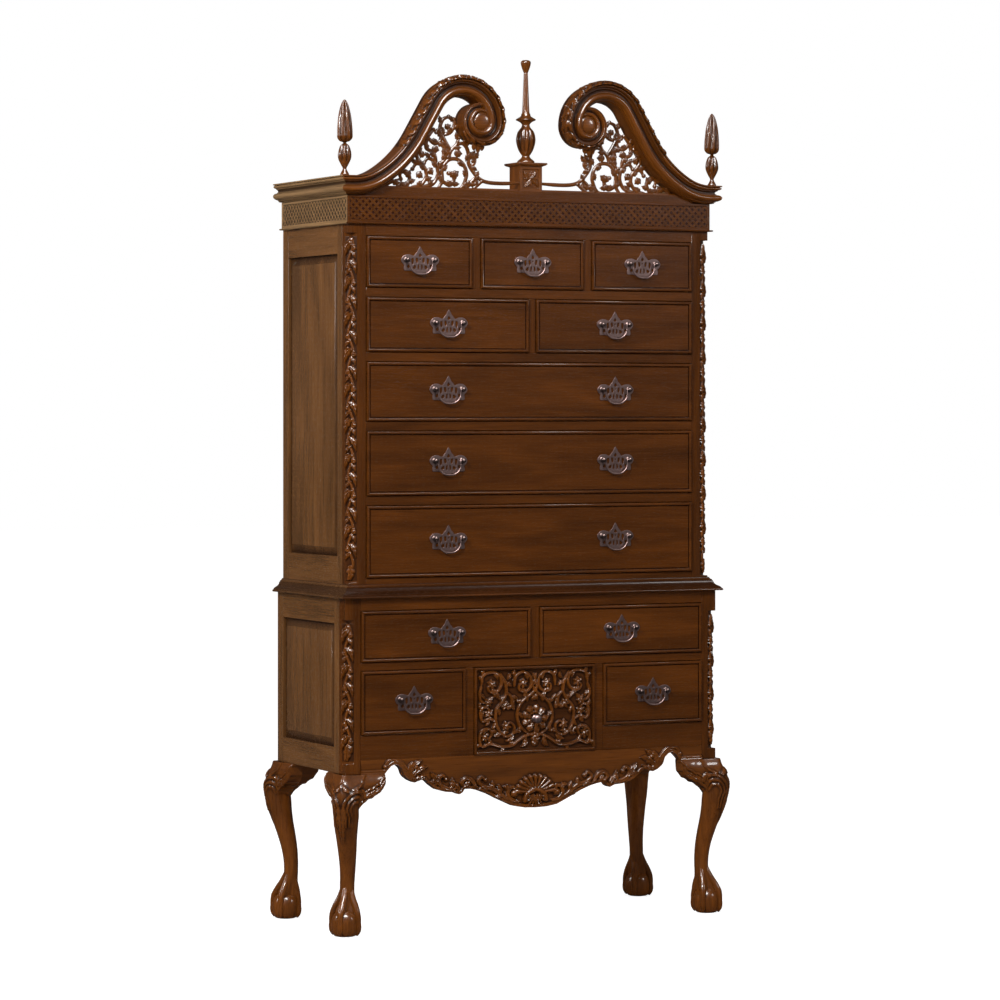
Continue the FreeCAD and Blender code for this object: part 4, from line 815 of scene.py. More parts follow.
def plate_form():
    """A pierced bat-wing plate about its own middle, its back on y = 0: a flat curve with
    round-eased edges, made a mesh once."""
    eased = 0.5
    half = np.array([(0, 0.86), (0.1, 0.72), (0.2, 0.52), (0.32, 0.4), (0.42, 0.26), (0.54, 0.26),
                     (0.74, 0.33), (0.96, 0.34), (1.16, 0.27), (1.32, 0.1), (1.36, -0.04),
                     (1.28, -0.2), (1.14, -0.34), (1.16, -0.5), (1.14, -0.68), (1.0, -0.7),
                     (0.78, -0.7), (0.6, -0.72), (0.44, -0.82), (0.2, -0.84), (0, -0.92)])
    holes = [[(0.0, 0.5), (0.12, 0.3), (0.07, 0.2), (-0.07, 0.2), (-0.12, 0.3)],
             [(0.0, 0.1), (0.07, 0.03), (0.0, -0.05), (-0.07, 0.03)]]
    pairs = [[(0.16, 0.12), (0.32, 0.16), (0.34, -0.04), (0.26, -0.22), (0.14, -0.14)],
             [(0.46, 0.14), (0.64, 0.1), (0.66, -0.1), (0.58, -0.34), (0.46, -0.2)],
             [(0.05, -0.26), (0.18, -0.34), (0.2, -0.58), (0.08, -0.64)],
             [(0.3, -0.34), (0.44, -0.36), (0.56, -0.52), (0.44, -0.62), (0.3, -0.56)],
             [(0.72, -0.28), (0.9, -0.32), (0.96, -0.5), (0.8, -0.56), (0.68, -0.42)]]
    flat = bpy.data.curves.new("plate_outline", "CURVE")
    flat.dimensions = "2D"
    flat.fill_mode = "BOTH"
    flat.extrude = (PLATE_THICK / 2 - eased) * MM
    flat.bevel_depth = eased * MM
    flat.bevel_resolution = 1
    left = half[-2:0:-1] * (-1, 1)
    outlines = [np.vstack([half, left]), *map(np.array, holes)]
    for hole in pairs:
        outlines += [np.array(hole), np.array(hole) * (-1, 1)]
    for outline in outlines:
        loop = curve(np.vstack([outline, outline[:1]]), len(outline) * 4 + 1)[:-1] * POST_X * MM
        spline = flat.splines.new("POLY")
        spline.points.add(len(loop) - 1)
        spline.points.foreach_set("co", np.hstack(
            [loop, np.zeros((len(loop), 1)), np.ones((len(loop), 1))]).ravel())
        spline.use_cyclic_u = True
    holder = bpy.data.objects.new("plate_outline", flat)
    mesh = bpy.data.meshes.new_from_object(holder)
    bpy.data.objects.remove(holder)
    bpy.data.curves.remove(flat)
    points = np.zeros(len(mesh.vertices) * 3)
    mesh.vertices.foreach_get("co", points)
    points = points.reshape(-1, 3) / MM
    faces = [tuple(face.vertices) for face in mesh.polygons]
    bpy.data.meshes.remove(mesh)
    points = np.stack([points[:, 0], -points[:, 2] - PLATE_THICK / 2, points[:, 1]], axis=1)
    quads, fans = ([face for face in faces if len(face) == count] for count in (4, 3))
    # the plate's metal is duller towards its middle and brighter towards its posts
    tone = 0.4 * (1 - np.abs(points[:, 0]) / POST_X)
    plate = Form().add(points, quads, fans, hollow=np.clip(tone, 0, 0.3))
    post = [(7.4, 0), (7.4, 1.2), (6.4, 2.2), (4.2, 2.8), (4.0, 8.6), (5.2, 9.8), (5.8, 11.2),
            (5.2, 13.2), (3.2, 14.6), (0.4, 15.2)]
    for x in (-POST_X, POST_X):
        plate.tube(lathe(post, (x, -PLATE_THICK, 0), 20, forwards=True), finish=1)
    return plate


def bail_form():
    """A swan-neck bail about its pivot line: round stock, thickest at the middle of its
    swing, with its pins running out into the posts."""
    inside, drop, stock, count = 31.5, 36.0, 2.0, 72
    arm = [(inside + 5.5, 0), (inside + 1.5, 0.6), (inside - 0.6, -3), (inside - 0.6, -11),
           (inside - 2, -19), (inside - 7, -27), (inside - 13, -31.6), (inside - 20, -35),
           (0, -drop)]
    line = np.vstack([arm, np.array(arm[-2::-1]) * (-1, 1)])
    share = np.abs(np.linspace(-1, 1, count))
    return Form().rod(upright(curve(line, count), 0), circle(12, stock, stock),
                      scale=np.interp(share, [0, 0.5, 1], [1.3, 1.0, 0.7]))


def hang_handles():
    """Every plate, and every bail on its own body."""
    plate, bail = plate_form(), bail_form()
    for node in [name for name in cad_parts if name.endswith("_plates")]:
        body = node.removesuffix("_plates")
        back = extent(node)[1][1]
        bails = [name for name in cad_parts
                 if name.startswith(body + "_") and name.endswith("bail")]
        plates = Form()
        for name in bails:
            low, high = extent(name)
            x, y = (low[:2] + high[:2]) / 2
            z = high[2] - PIN_RADIUS
            plates.join(plate.moved(x, back, z))
            bail.moved(x, y, z).build(name, "metal", body=name, slot="handle_metal")
        plates.build(node, "metal", "dark", body=body, slot="handle_metal", sharp=40)


def turn_knob():
    """The small knob in the middle of the carved drawer."""
    low, high = extent("carved_drawer_knob")
    x, _, z = (low + high) / 2
    profile = curve([(0.2, 22.5), (6, 21.5), (10.4, 18), (10.6, 14), (6, 11), (4.6, 8),
                     (6.4, 3.4), (9, 1.6), (9.4, 0)])
    knob = Form().tube(lathe(profile, (x, high[1], z), 32, forwards=True))
    return knob.build("carved_drawer_knob", "metal", body=CARVED, slot="handle_metal")


# ---------------------------------------------------------------- mouldings
FRIEZE_PROUD = 4.0  # how far the bands stand out from the frieze


def run_moulding(form, route, outward, profile, **marks):
    """A profile of (stand out, height) pairs run along a level route with mitred corners;
    outward gives the direction in which the profile stands out at each corner."""
    route = np.asarray(route, float)
    outward = np.asarray(outward, float)
    profile = np.asarray(profile, float)
    flat = route[:, None] + profile[None, :, :1] * outward[:, None]
    height = np.broadcast_to(profile[None, :, 1], flat.shape[:2])
    rings = np.concatenate([flat, height[..., None]], axis=2)
    run = run_of(route)
    grain = np.stack([np.broadcast_to(run[:, None], height.shape), height,
                      np.broadcast_to(profile[None, :, 0], height.shape)], axis=2)
    form.grid(rings, ring=True, grain=grain, **marks)
    marks = {key: value for key, value in marks.items() if key != "hollow"}
    for end, near in ((0, 1), (-1, -2)):
        back = rings[end].copy()
        back[:, :2] = route[end]
        form.grid(np.stack([rings[end], back]), facing=np.append(route[end] - route[near], 0),
                  **marks)
    return form


def side_runs(profile, **marks):
    """A moulding along both sides of the upper case, mitred at its front corners."""
    left = run_moulding(Form(), [(-UPPER_HALF, BACK), (-UPPER_HALF, UPPER_FRONT)],
                        [(-1, 0), (-1, -1)], profile, **marks)
    return left.join(left.mirrored())


def run_round(form, profile, hollow=0.0):
    """A moulding round the front and both sides of the upper case, in three runs."""
    run_moulding(form, [(-UPPER_HALF, UPPER_FRONT), (UPPER_HALF, UPPER_FRONT)],
                 [(-1, -1), (1, -1)], profile, hollow=hollow)
    return form.join(side_runs(profile, hollow=hollow, finish=1))


def cornice_face():
    """(drop, stand) pairs of the cornice: an upper roll, a deep hollow between two fillets, a
    bold lower roll, and a fillet and a bead under it."""
    lip = [(0, 0.97), (0.02, 1.0), (0.07, 1.0), (0.075, 0.86)]
    roll = curve([(0.08, 0.8), (0.11, 0.9), (0.16, 0.96), (0.21, 0.92), (0.25, 0.8)], 14)
    cove = curve([(0.31, 0.62), (0.38, 0.5), (0.46, 0.52)], 7)
    torus = curve([(0.505, 0.6), (0.54, 0.82), (0.62, 0.97), (0.7, 1.0), (0.8, 0.9),
                   (0.87, 0.68)], 22)
    bead = curve([(0.93, 0.42), (0.965, 0.46), (1, 0.3)], 5)
    face = np.vstack([lip, roll, [(0.255, 0.7), (0.3, 0.7)], cove, [(0.47, 0.6), (0.5, 0.6)],
                      torus, [(0.88, 0.54), (0.92, 0.54)], bead])
    return face * (CORNICE_TALL, CORNICE_OUT)


def painted_face_shade(face):
    """Painted shade on a cornice face: most in the hollow between its two rolls, and some at its
    foot.
    """
    share = face[:, 0] / face[-1, 0]
    return 1.2 * np.exp(-((share - 0.39) / 0.09) ** 2) + 0.5 * np.exp(-((share - 1) / 0.05) ** 2)


def waist():
    """The moulding round the waist: a rounded lower edge, an ogee between two fillets and a
    small hollow at the top, mitred at the front corners."""
    edge = curve([(28, 0), (29.8, 1.4), (30, 3.4), (28.4, 5.6)], 8)
    ogee = curve([(25.6, 8.4), (23, 11), (17.5, 14), (13, 18), (11, 23), (10.6, 25)], 20)
    hollow = curve([(7.8, 28.6), (5, 30), (3.4, 32.6)], 8)
    profile = np.vstack([[(0, 0)], edge, [(26.6, 6.2), (26.6, 8)], ogee,
                         [(8.6, 25.4), (8.6, 28.2)], hollow, [(3.4, 34), (0, 34)]])
    # painted shade: the waist's colour is darkened a little all over, and more where a step of the
    # profile is longer than 1.2 mm, which marks its fillets
    fillets = np.hypot(*(np.diff(profile, axis=0, append=profile[-1:])).T) > 1.2
    form = run_round(Form(), profile + (0, WAIST_Z), 0.3 + 0.5 * fillets[None])
    return form.build("waist_moulding", "front", "side")


def cornices():
    """The side cornices, mitred to the scrolls at the front corners."""
    face = cornice_face()
    profile = np.vstack([[(0, CORNICE_TOP)],
                         np.stack([face[:, 1], CORNICE_TOP - face[:, 0]], axis=1),
                         [(0, CORNICE_TOP - face[-1, 0])]])
    # painted shade along the face, and 0.4 on the ring under its foot
    shade = np.r_[0, painted_face_shade(face), 0.4]
    # painted sheen: the side cornices take the paler wood
    return side_runs(profile, hollow=shade[None]).build("side_cornices", "pale")


def lattice(form, length, tall, rows, wide, **marks):
    """Two layers of slanting straps over a length, so many diamonds high; one layer passes
    over the other, and each strap is a flat bar, cut to the band's ends."""
    end, pitch, shortest = length / 2, tall / rows, 0.08
    flat_strap = np.array([(-1, -0.3), (-1, 0.4), (1, 0.4), (1, -0.3)]) * wide
    for start in np.arange(-end - tall, end, pitch):
        low = max((-end - start) / tall, 0.0)
        high = min((end - start) / tall, 1.0)
        if high - low < shortest:
            continue
        share = np.linspace(low, high, 3)
        for lean, rise in ((1, share), (-1, 1 - share)):
            strap = upright(np.stack([start + tall * share, tall * rise], axis=1),
                            0.12 * wide * lean)
            form.tube(sweep(strap, flat_strap), **marks)
    return form


def lattice_band(length, tall, strap, ground, finish):
    """A sunk band with a lattice in it, about x = 0 on the plane y = 0: a plain rim, the
    ground darkened with painted shade, and straps three diamonds high."""
    edge, rows = 7.0, 3
    rim = framed_front(Form(), (-length / 2, -FRIEZE_PROUD, 0), (length / 2, 0, tall),
                       FRIEZE_PROUD, [(0, 0.4), (0.4, 0), (edge - 1.4, 0), (edge, 1.2),
                                      (edge + 0.6, 3.6)], ground=ground, finish=finish)
    straps = lattice(Form(), length - 2 * edge, tall - 2 * edge, rows, strap, finish=finish)
    return rim.join(straps.moved(0, -0.6, edge))


def frieze():
    """The frieze: board, sunk bands with crossed straps on the front and sides, and a bead."""
    bead, bead_out, inset, board_thick = 4.0, 11.0, 10.0, 40.0
    low_z = FRIEZE_Z + bead
    tall = CORNICE_TOP - CORNICE_TALL - low_z
    form = Form().board((-UPPER_HALF + inset, UPPER_FRONT, FRIEZE_Z),
                        (UPPER_HALF - inset, UPPER_FRONT + board_thick, CASE_TOP))
    # painted shade: the sunk ground behind the straps is darkened, 0.9 on the front band and 1 on
    # the side bands
    front = lattice_band(2 * (UPPER_HALF + FRIEZE_PROUD), tall, strap=3.1, ground=0.9,
                         finish=0)
    side = lattice_band(BACK - UPPER_FRONT, tall, strap=1.35, ground=1.0, finish=1)
    left = side.on_left_side(-UPPER_HALF, (BACK + UPPER_FRONT) / 2, low_z)
    form.join(front.moved(0, UPPER_FRONT, low_z), left, left.mirrored())
    nose = curve([(bead_out - 2, 0), (bead_out, bead / 2), (bead_out - 2, bead)], 9)
    run_round(form, np.vstack([[(0, 0)], nose, [(0, bead)]]) + (0, FRIEZE_Z))
    # painted sheen: the side bands and the bead's side runs take the paler wood
    return form.build("frieze", "front", "pale")


# ---------------------------------------------------------------- pediment
CORNICE_HALF = UPPER_HALF + CORNICE_OUT
VOLUTE_RADIUS = 58.0
SCROLL_BACK = 36.0  # from the front of the case to the back of the scrolls


def swan_neck(step=3.0):
    """The left scroll's upper edge as (x, z) points with its headings: a flat, two rising
    arcs, a straight run, and the arc that rolls over."""
    spot = np.array([-CORNICE_HALF, CORNICE_TOP])
    heading = 0.0
    points, headings = [spot], [heading]
    for length, radius, turn in ((34, 0, 0), (0, 120, 30), (0, 269, 60), (98, 0, 60),
                                 (0, -109, -90)):
        if radius == 0:
            count = max(int(length / step), 2)
            share = np.arange(1, count + 1)[:, None] / count
            ahead = np.array([math.cos(heading), math.sin(heading)])
            run = spot + share * length * ahead
            angles = np.full(count, heading)
        else:
            goal = math.radians(turn)
            count = max(int(abs(goal - heading) * abs(radius) / step), 4)
            angles = heading + (goal - heading) * np.arange(1, count + 1) / count
            centre = spot + radius * np.array([-math.sin(heading), math.cos(heading)])
            run = centre + radius * np.stack([np.sin(angles), -np.cos(angles)], axis=1)
            heading = goal
        points += list(run)
        headings += list(angles)
        spot = points[-1]
    return np.array(points), np.array(headings)


def scroll_line():
    """The left scroll's whole line: the swan-neck, then a coil that winds in on it.  Returns
    its (x, z) points, its headings, the share of the full section left at each point, and
    the coil's centre.  Its radius is the volute's times 1 - coil^2 / 2."""
    points, headings = swan_neck()
    coil = np.linspace(0, 1, 120)[1:]
    centre = points[-1] - (VOLUTE_RADIUS, 0)
    angle = -2 * np.pi * 1.18 * coil
    radius = VOLUTE_RADIUS * (1 - 0.5 * coil ** 2)
    wound = centre + radius[:, None] * np.stack([np.cos(angle), np.sin(angle)], axis=1)
    shrink = np.r_[np.ones(len(points)), 1 - 0.68 * coil]
    return np.vstack([points, wound]), np.r_[headings, -np.pi / 2 + angle], shrink, centre


def scroll_leaves(run, across, first=190.0, last=760.0, pitch=30.0, middle=48.0):
    """The row of leaves along the scroll, in threes that spring from one line, and the
    painted shade and glazing that darken the scroll round them."""
    work = Carving(run, across)
    for root in np.arange(first, last, pitch):
        for side in (1, -1):
            work.leaf((root, middle), (root + 1.3 * pitch, middle + side * 21), 9, 6.5, 3,
                      0.14 * side)
        work.leaf((root, middle), (root + 1.5 * pitch, middle), 9.5, 7.5, 4)
    carved = (run > first) & (run < last)
    return work.height.T, work.hollows(2, 1.0, ground=0.5).T * carved[:, None]


def scroll_form():
    """The left scroll: the cornice face carried up the swan-neck, then wound in on itself
    while it shrinks, round an eye.  A row of leaves is carved over its top and upper roll,
    and a plain barrel closes the coil behind the eye."""
    face = cornice_face()
    top = 9
    drop = np.r_[np.zeros(top), face[:, 0], face[-1, 0]]
    stand = np.r_[np.linspace(-SCROLL_BACK, face[0, 1], top, endpoint=False), face[:, 1],
                  -SCROLL_BACK]
    # painted shade along the face, as on the cornice, and on the ring at the back of its foot
    shade = np.r_[np.zeros(top), painted_face_shade(face), 0.5]
    line, turn, shrink, centre = scroll_line()
    shrink = shrink[:, None]
    run = run_of(line)
    inward = np.stack([np.sin(turn), -np.cos(turn)], axis=1)
    height, dark = scroll_leaves(run, run_of(np.column_stack([drop, stand])))
    on_top = np.arange(len(drop)) < top
    on_roll = on_top | (drop < 0.26 * face[-1, 0]) & (stand > 0)
    leafy = height * on_roll * shrink
    inner = drop * shrink - leafy * on_top
    flat = line[:, None] + inward[:, None] * inner[..., None]
    proud = stand * np.where(stand > 0, 0.35 + 0.65 * shrink, 0.8 + 0.2 * shrink)
    proud = proud + leafy * (stand > 8)
    grid = np.stack([flat[..., 0], UPPER_FRONT - proud, flat[..., 1]], axis=2)
    mitred = 14
    mitre = np.arange(mitred)[:, None] * 0.1 - UPPER_HALF - np.maximum(stand, 0)
    grid[:mitred, :, 0] = np.maximum(grid[:mitred, :, 0], mitre)
    # painted shade and glazing round the carved leaves, added to the face's painted shade
    hollow = np.clip(shade + dark * on_roll, 0, 1)
    grain = np.stack([np.broadcast_to(run[:, None], hollow.shape),
                      np.broadcast_to(drop, hollow.shape), proud], axis=2)
    form = Form().grid(grid, ring=True, hollow=hollow, grain=grain, seed=0.0)
    back = grid[0] * (0, 0, 1) + (-UPPER_HALF, UPPER_FRONT + SCROLL_BACK, 0)
    form.grid(np.stack([grid[0], back]), facing=(-1, -1, 0), seed=0.0)
    hub = (centre[0], UPPER_FRONT, centre[1])
    eye = curve([(24, -6), (24, 8), (23.5, 15), (21.5, 19), (17, 21), (9, 22), (0.4, 22.4)], 24)
    form.tube(lathe(eye, hub, forwards=True))
    barrel = VOLUTE_RADIUS - 12
    # painted shade: the barrel behind the eye is darkened a little
    form.tube(lathe([(barrel, -0.8 * SCROLL_BACK), (barrel, 5), (barrel - 3, 8), (24, 8)], hub,
                    64, forwards=True), hollow=0.15)
    foot = centre - (0, VOLUTE_RADIUS)
    for shift, lean in ((0, 0), (-8, -16), (8, 16)):
        tip = foot + (shift * 1.4 - 8, abs(lean) * 0.4 - 22)
        root = foot + (shift * 0.4 - 6, 6)
        drooping = curve([root, (root + tip) / 2 + (lean * 0.2, 0), tip], 16)
        form.rod(upright(drooping, UPPER_FRONT - 8), circle(10, 8.0, 6.0),
                 scale=np.sin(np.linspace(0.6, np.pi - 0.08, 16)) ** 0.7)
    return form


VINES = [
    [(-404, 1862), (-392, 1872), (-376, 1876), (-366, 1868), (-374, 1860)],
    [(-372, 1862), (-350, 1864), (-336, 1884), (-346, 1902), (-362, 1896), (-360, 1882)],
    [(-330, 1862), (-306, 1868), (-290, 1890), (-296, 1914), (-316, 1922), (-328, 1908)],
    [(-296, 1914), (-316, 1940), (-310, 1962), (-298, 1974)],
    [(-300, 1864), (-272, 1872), (-258, 1896), (-264, 1924), (-284, 1936), (-296, 1924)],
    [(-262, 1926), (-270, 1950), (-290, 1962), (-286, 1988), (-270, 2008)],
    [(-286, 1988), (-268, 1974), (-252, 1980), (-250, 1996), (-262, 2002)],
    [(-252, 1982), (-240, 1960), (-238, 1936), (-252, 1924)],
    [(-256, 1862), (-246, 1880), (-246, 1908), (-230, 1932), (-206, 1936), (-186, 1922),
     (-178, 1898), (-186, 1874), (-196, 1862)],
    [(-246, 1880), (-226, 1870), (-214, 1880), (-216, 1896), (-228, 1900)],
    [(-230, 1932), (-222, 1956), (-206, 1972), (-200, 1990)],
    [(-222, 1956), (-240, 1984), (-252, 2010), (-244, 2034), (-228, 2042)],
    [(-240, 1996), (-222, 2004), (-212, 2022), (-214, 2036)],
    [(-206, 1972), (-190, 1976), (-178, 1966), (-172, 1946), (-172, 1926), (-160, 1906),
     (-142, 1888), (-120, 1880), (-84, 1878), (-32, 1880)],
    [(-178, 1972), (-168, 1986), (-170, 1998)],
    [(-166, 1918), (-156, 1930), (-158, 1946), (-168, 1950)],
    [(-204, 1860), (-180, 1864), (-160, 1884), (-148, 1892)],
    [(-160, 1862), (-148, 1872), (-136, 1882)],
]
VINE_LEAVES = [((-346, 1886), (-334, 1906), 7), ((-318, 1900), (-300, 1886), 8),
               ((-312, 1946), (-292, 1944), 8), ((-286, 1912), (-272, 1894), 8),
               ((-276, 1962), (-254, 1956), 9), ((-262, 1998), (-246, 2016), 7),
               ((-222, 1890), (-200, 1906), 9), ((-226, 1878), (-206, 1872), 7),
               ((-214, 1950), (-190, 1950), 9), ((-240, 2012), (-222, 2022), 7),
               ((-170, 1936), (-154, 1960), 7), ((-182, 1880), (-164, 1868), 7),
               ((-236, 1944), (-246, 1964), 7), ((-382, 1866), (-366, 1884), 6),
               ((-352, 1868), (-334, 1872), 6)]


def vine_work():
    """The pierced vine board: stems as round rods between the case top and the scroll,
    curling leaves on them, and a low rail that runs to the plinth."""
    fret_low, fret_high = extent("pediment_fret")
    y = (fret_low[1] + fret_high[1]) / 2
    rail, leaf_reach, leafy_x, bud_x, bud_z = 5.0, 23.0, -150.0, -60.0, 1870.0
    form = Form()
    for points in VINES:
        line = curve(points, 12 * len(points))
        share = np.linspace(0, 1, len(line))
        scale = np.interp(share, [0, 0.1, 0.85, 1], [0.8, 1, 0.95, 0.7])
        form.rod(upright(line, y), circle(10, 5.2, 5.0), scale=scale)
        for spot in range(8, len(line) - 4, 17):
            ahead = unit(line[spot + 1] - line[spot])
            aside = left_of(ahead) * (-1) ** (spot // 15)
            if line[spot, 0] < leafy_x:
                tip = line[spot] + leaf_reach * (0.55 * aside + 0.8 * ahead)
                form.join(leaf_form(line[spot], tip, 7.6, y - 2, 4.0))
        if points[-1][1] > bud_z and points[-1][0] < bud_x:
            within = line[-1] - (0.1, 0)  # just inside the stem's end
            form.tube(lathe([(0.3, -6), (4.2, -4.2), (6, 0), (4.2, 4.2), (0.3, 6)],
                            (within[0], y, within[1]), 12))
    for root, tip, wide in VINE_LEAVES:
        form.join(leaf_form(root, tip, 1.35 * wide, y - 2, 4.5))
    form.board((-UPPER_HALF * 0.98, fret_low[1], CASE_TOP - 1),
               (0, fret_high[1], CASE_TOP + rail))
    return form.join(form.mirrored()).build("pediment_fret", "carved")


def leaf_form(root, tip, wide, y, thick):
    """A small leaf of three lobes with both faces arched: half width by a sine cut into
    lobes."""
    root, tip = np.asarray(root, float), np.asarray(tip, float)
    t = np.linspace(0.0, 1.0, 22)
    half = wide * np.sin(np.pi * t ** 0.75) * (0.7 + 0.3 * np.abs(np.cos(3 * np.pi * t)))
    aside = left_of(unit(tip - root))
    theta = np.linspace(0, 2 * np.pi, 14, endpoint=False)
    spine = root + t[:, None] * (tip - root)
    across = np.cos(theta)[None] * half[:, None]
    midrib = np.exp(-(across / (0.2 * wide)) ** 2)
    rise = np.sin(theta)[None] * thick * (np.sin(np.pi * t) ** 0.5)[:, None]
    points = np.stack([spine[:, :1] + across * aside[0], y - rise * (1 - 0.35 * midrib),
                       spine[:, 1:] + across * aside[1]], axis=2)
    # painted shade along each leaf's midrib
    return Form().tube(points, hollow=0.6 * midrib)


def pediment_scrolls():
    """Both scrolls, each in place of its CAD node."""
    left = scroll_form()
    left.build("left_scroll", "carved")
    left.mirrored().build("right_scroll", "carved")


def plinth():
    """The pedestal under the centre finial, with a carved flower in its sunk panel."""
    half, cap, edge = 31.0, 9.0, 8.0
    front = PLINTH_Y - half
    foot, head = PLINTH_LOW[2], PLINTH_HIGH[2] - cap
    middle = np.array([0, (foot + head) / 2])
    form = Form().board((-half, front + 4, foot), (half, PLINTH_Y + half, head), along=2)
    framed_front(form, (-half, front, foot), (half, front + 5, head), 5.0,
                 [(0, 0.4), (0.4, 0), (edge - 1, 0), (edge, 1), (edge + 0.6, 3.5)])
    work = Carving(np.linspace(-half + edge, half - edge, 70),
                   np.linspace(foot + edge, head - edge, 76))
    for first, reach, wide, tall, lobes, bend in ((45, 28, 7, 5, 3, 0.12),
                                                  (0, 20, 5, 4.5, 2, 0)):
        for angle in np.radians(first + np.arange(0, 360, 90)):
            out = ray(angle)
            work.leaf(out * 4 + middle, out * reach + middle, wide, tall, lobes, bend)
    work.boss(middle, 7, 6, petals=5)
    relief = np.stack([work.u, front + 3.6 - work.height, work.v], axis=2)
    # painted shade and glazing in the hollows of the carved flower
    form.grid(relief, facing=(0, -1, 0), hollow=work.hollows(2))
    lid = np.array([(0.1, 0), (half + 1, 0), (half + 3, 1.2), (half + 7, 2.6), (half + 10, 5),
                    (half + 10, 8.6), (half + 9.4, cap), (0.1, cap)])
    corners = np.array([(-1, -1), (1, -1), (1, 1), (-1, 1)], float)
    rings = [np.append(corners * reach + (0, PLINTH_Y), np.full((4, 1), head + rise), axis=1)
             for reach, rise in lid]
    return form.tube(rings).build("finial_plinth", "carved", bevel=0.5)


def turned_finial(profile, centre, flutes, band, deep, twist=0.0):
    """A turned finial whose swelling is cut with leaf-like flutes between two heights; the
    cut is 1 - |cos(flutes x turn / 2 + twist x height)|, faded out where it is thin."""
    line = curve(profile, 110)
    sides = 56
    rings = lathe(line, (0, 0, 0), sides)
    turn = np.linspace(0, 2 * np.pi, sides, endpoint=False)[None]
    z = line[:, 1:]
    inside = np.clip((z - band[0]) / 8, 0, 1) * np.clip((band[1] - z) / 8, 0, 1)
    cut = inside * (1 - np.abs(np.cos(flutes * turn / 2 + twist * z)))
    radius = np.maximum(np.hypot(rings[..., 0], rings[..., 1]), 0.01)
    shrink = 1 - deep * cut / radius * np.clip(radius / 6, 0, 1)
    rings = rings * np.stack([shrink, shrink, np.ones_like(shrink)], axis=2)
    # painted shade and glazing in the flutes
    return Form().tube(rings + np.array(centre), along=2, hollow=cut * 0.8)


def finials():
    """The tall centre finial on its plinth, and a flame-cut one at each corner."""
    base = extent("centre_finial")[0][2]
    middle = [(22, 0), (22, 5), (19, 8), (12, 14), (9.6, 19), (13, 24), (19, 34), (24, 50),
              (25, 64), (21, 80), (13, 90), (10, 96), (11, 101), (17, 106), (26, 111),
              (19, 116), (13, 120), (11.6, 125), (9.4, 132), (7.6, 170), (5.4, 226),
              (5.2, 230), (7.4, 236), (11, 246), (13, 256), (11.4, 260), (8, 262.4), (0.5, 263)]
    form = turned_finial(middle, (0, PLINTH_Y, base), flutes=10, band=(26, 88), deep=4.0)
    form.build("centre_finial", "carved", slot="turned_mahogany", sharp=60)
    low, high = extent("corner_finials")
    foot_radius = 17.0
    place = (foot_radius - high[0], (low[1] + high[1]) / 2, low[2])
    bud = np.array([(11, 0), (11, 3), (8.5, 8), (5, 15), (5.2, 19), (9, 26), (15, 38), (17.2, 48),
                    (16, 60), (11.5, 73), (5, 79), (4.6, 82), (13, 85), (19.4, 93), (20, 104),
                    (19, 122), (17, 142), (13.6, 160), (9, 176), (4, 185), (0.4, 188)])
    bud[:, 1] *= (high[2] - low[2]) / bud[-1, 1]
    left = turned_finial(bud, place, flutes=7, band=(30, 186), deep=5.0, twist=0.014)
    left.join(left.mirrored()).build("corner_finials", "carved", slot="turned_mahogany",
                                     sharp=60)


# ---------------------------------------------------------------- legs and apron
CASE_FOOT = 402.0  # height of the lower case's foot, where the legs begin
FOOT_SIDE = 12.0  # how far a foot swings sideways off the leg's diagonal
FOOT_IN = 27.5  # and inwards along it
OUTWARD = np.array([1, -1]) / math.sqrt(2)  # from the case at its right front corner
ACROSS = np.array([1, 1]) / math.sqrt(2)  # square to that


def knee_carving(angle, height, radius):
    """Relief over the knee, laid out as arc length against height: curls under a plain
    shoulder, and rows of lobed leaves that shrink as they run down the front edge."""
    work = Carving(angle * radius, height)
    for number in range(6):
        head = 322 - 15 * number
        for side in (1, -1):
            work.leaf((side * (9 - number), head), (side * 1.5, head - 26), 9 - number,
                      6.0 - 0.5 * number, 1)
    for side in (1, -1):
        for ring, wide, tall in ((40, 5.0, 7.0), (29, 4.2, 5.5), (19, 3.8, 4.5)):
            turn = np.radians(np.linspace(20, 178, 30))
            arc = np.stack([side * (47 + ring * np.cos(turn)), 316 + 1.15 * ring * np.sin(turn)],
                           axis=1)
            tail = [(side * (47 - ring), 316), (side * (48 - 0.9 * ring), 300),
                    (side * (44 - 0.75 * ring), 276)]
            arc = curve(np.vstack([arc[::5], tail]), 50)
            work.stroke(arc, np.linspace(1, 0.5, 50) * wide, tall, gouge=0.3)
        work.leaf((side * 22, 362), (side * 2, 382), 6, 5.5, 3, 0.15 * side)
        work.leaf((side * 30, 366), (side * 52, 384), 6, 4.5, 3, -0.15 * side)
    return work


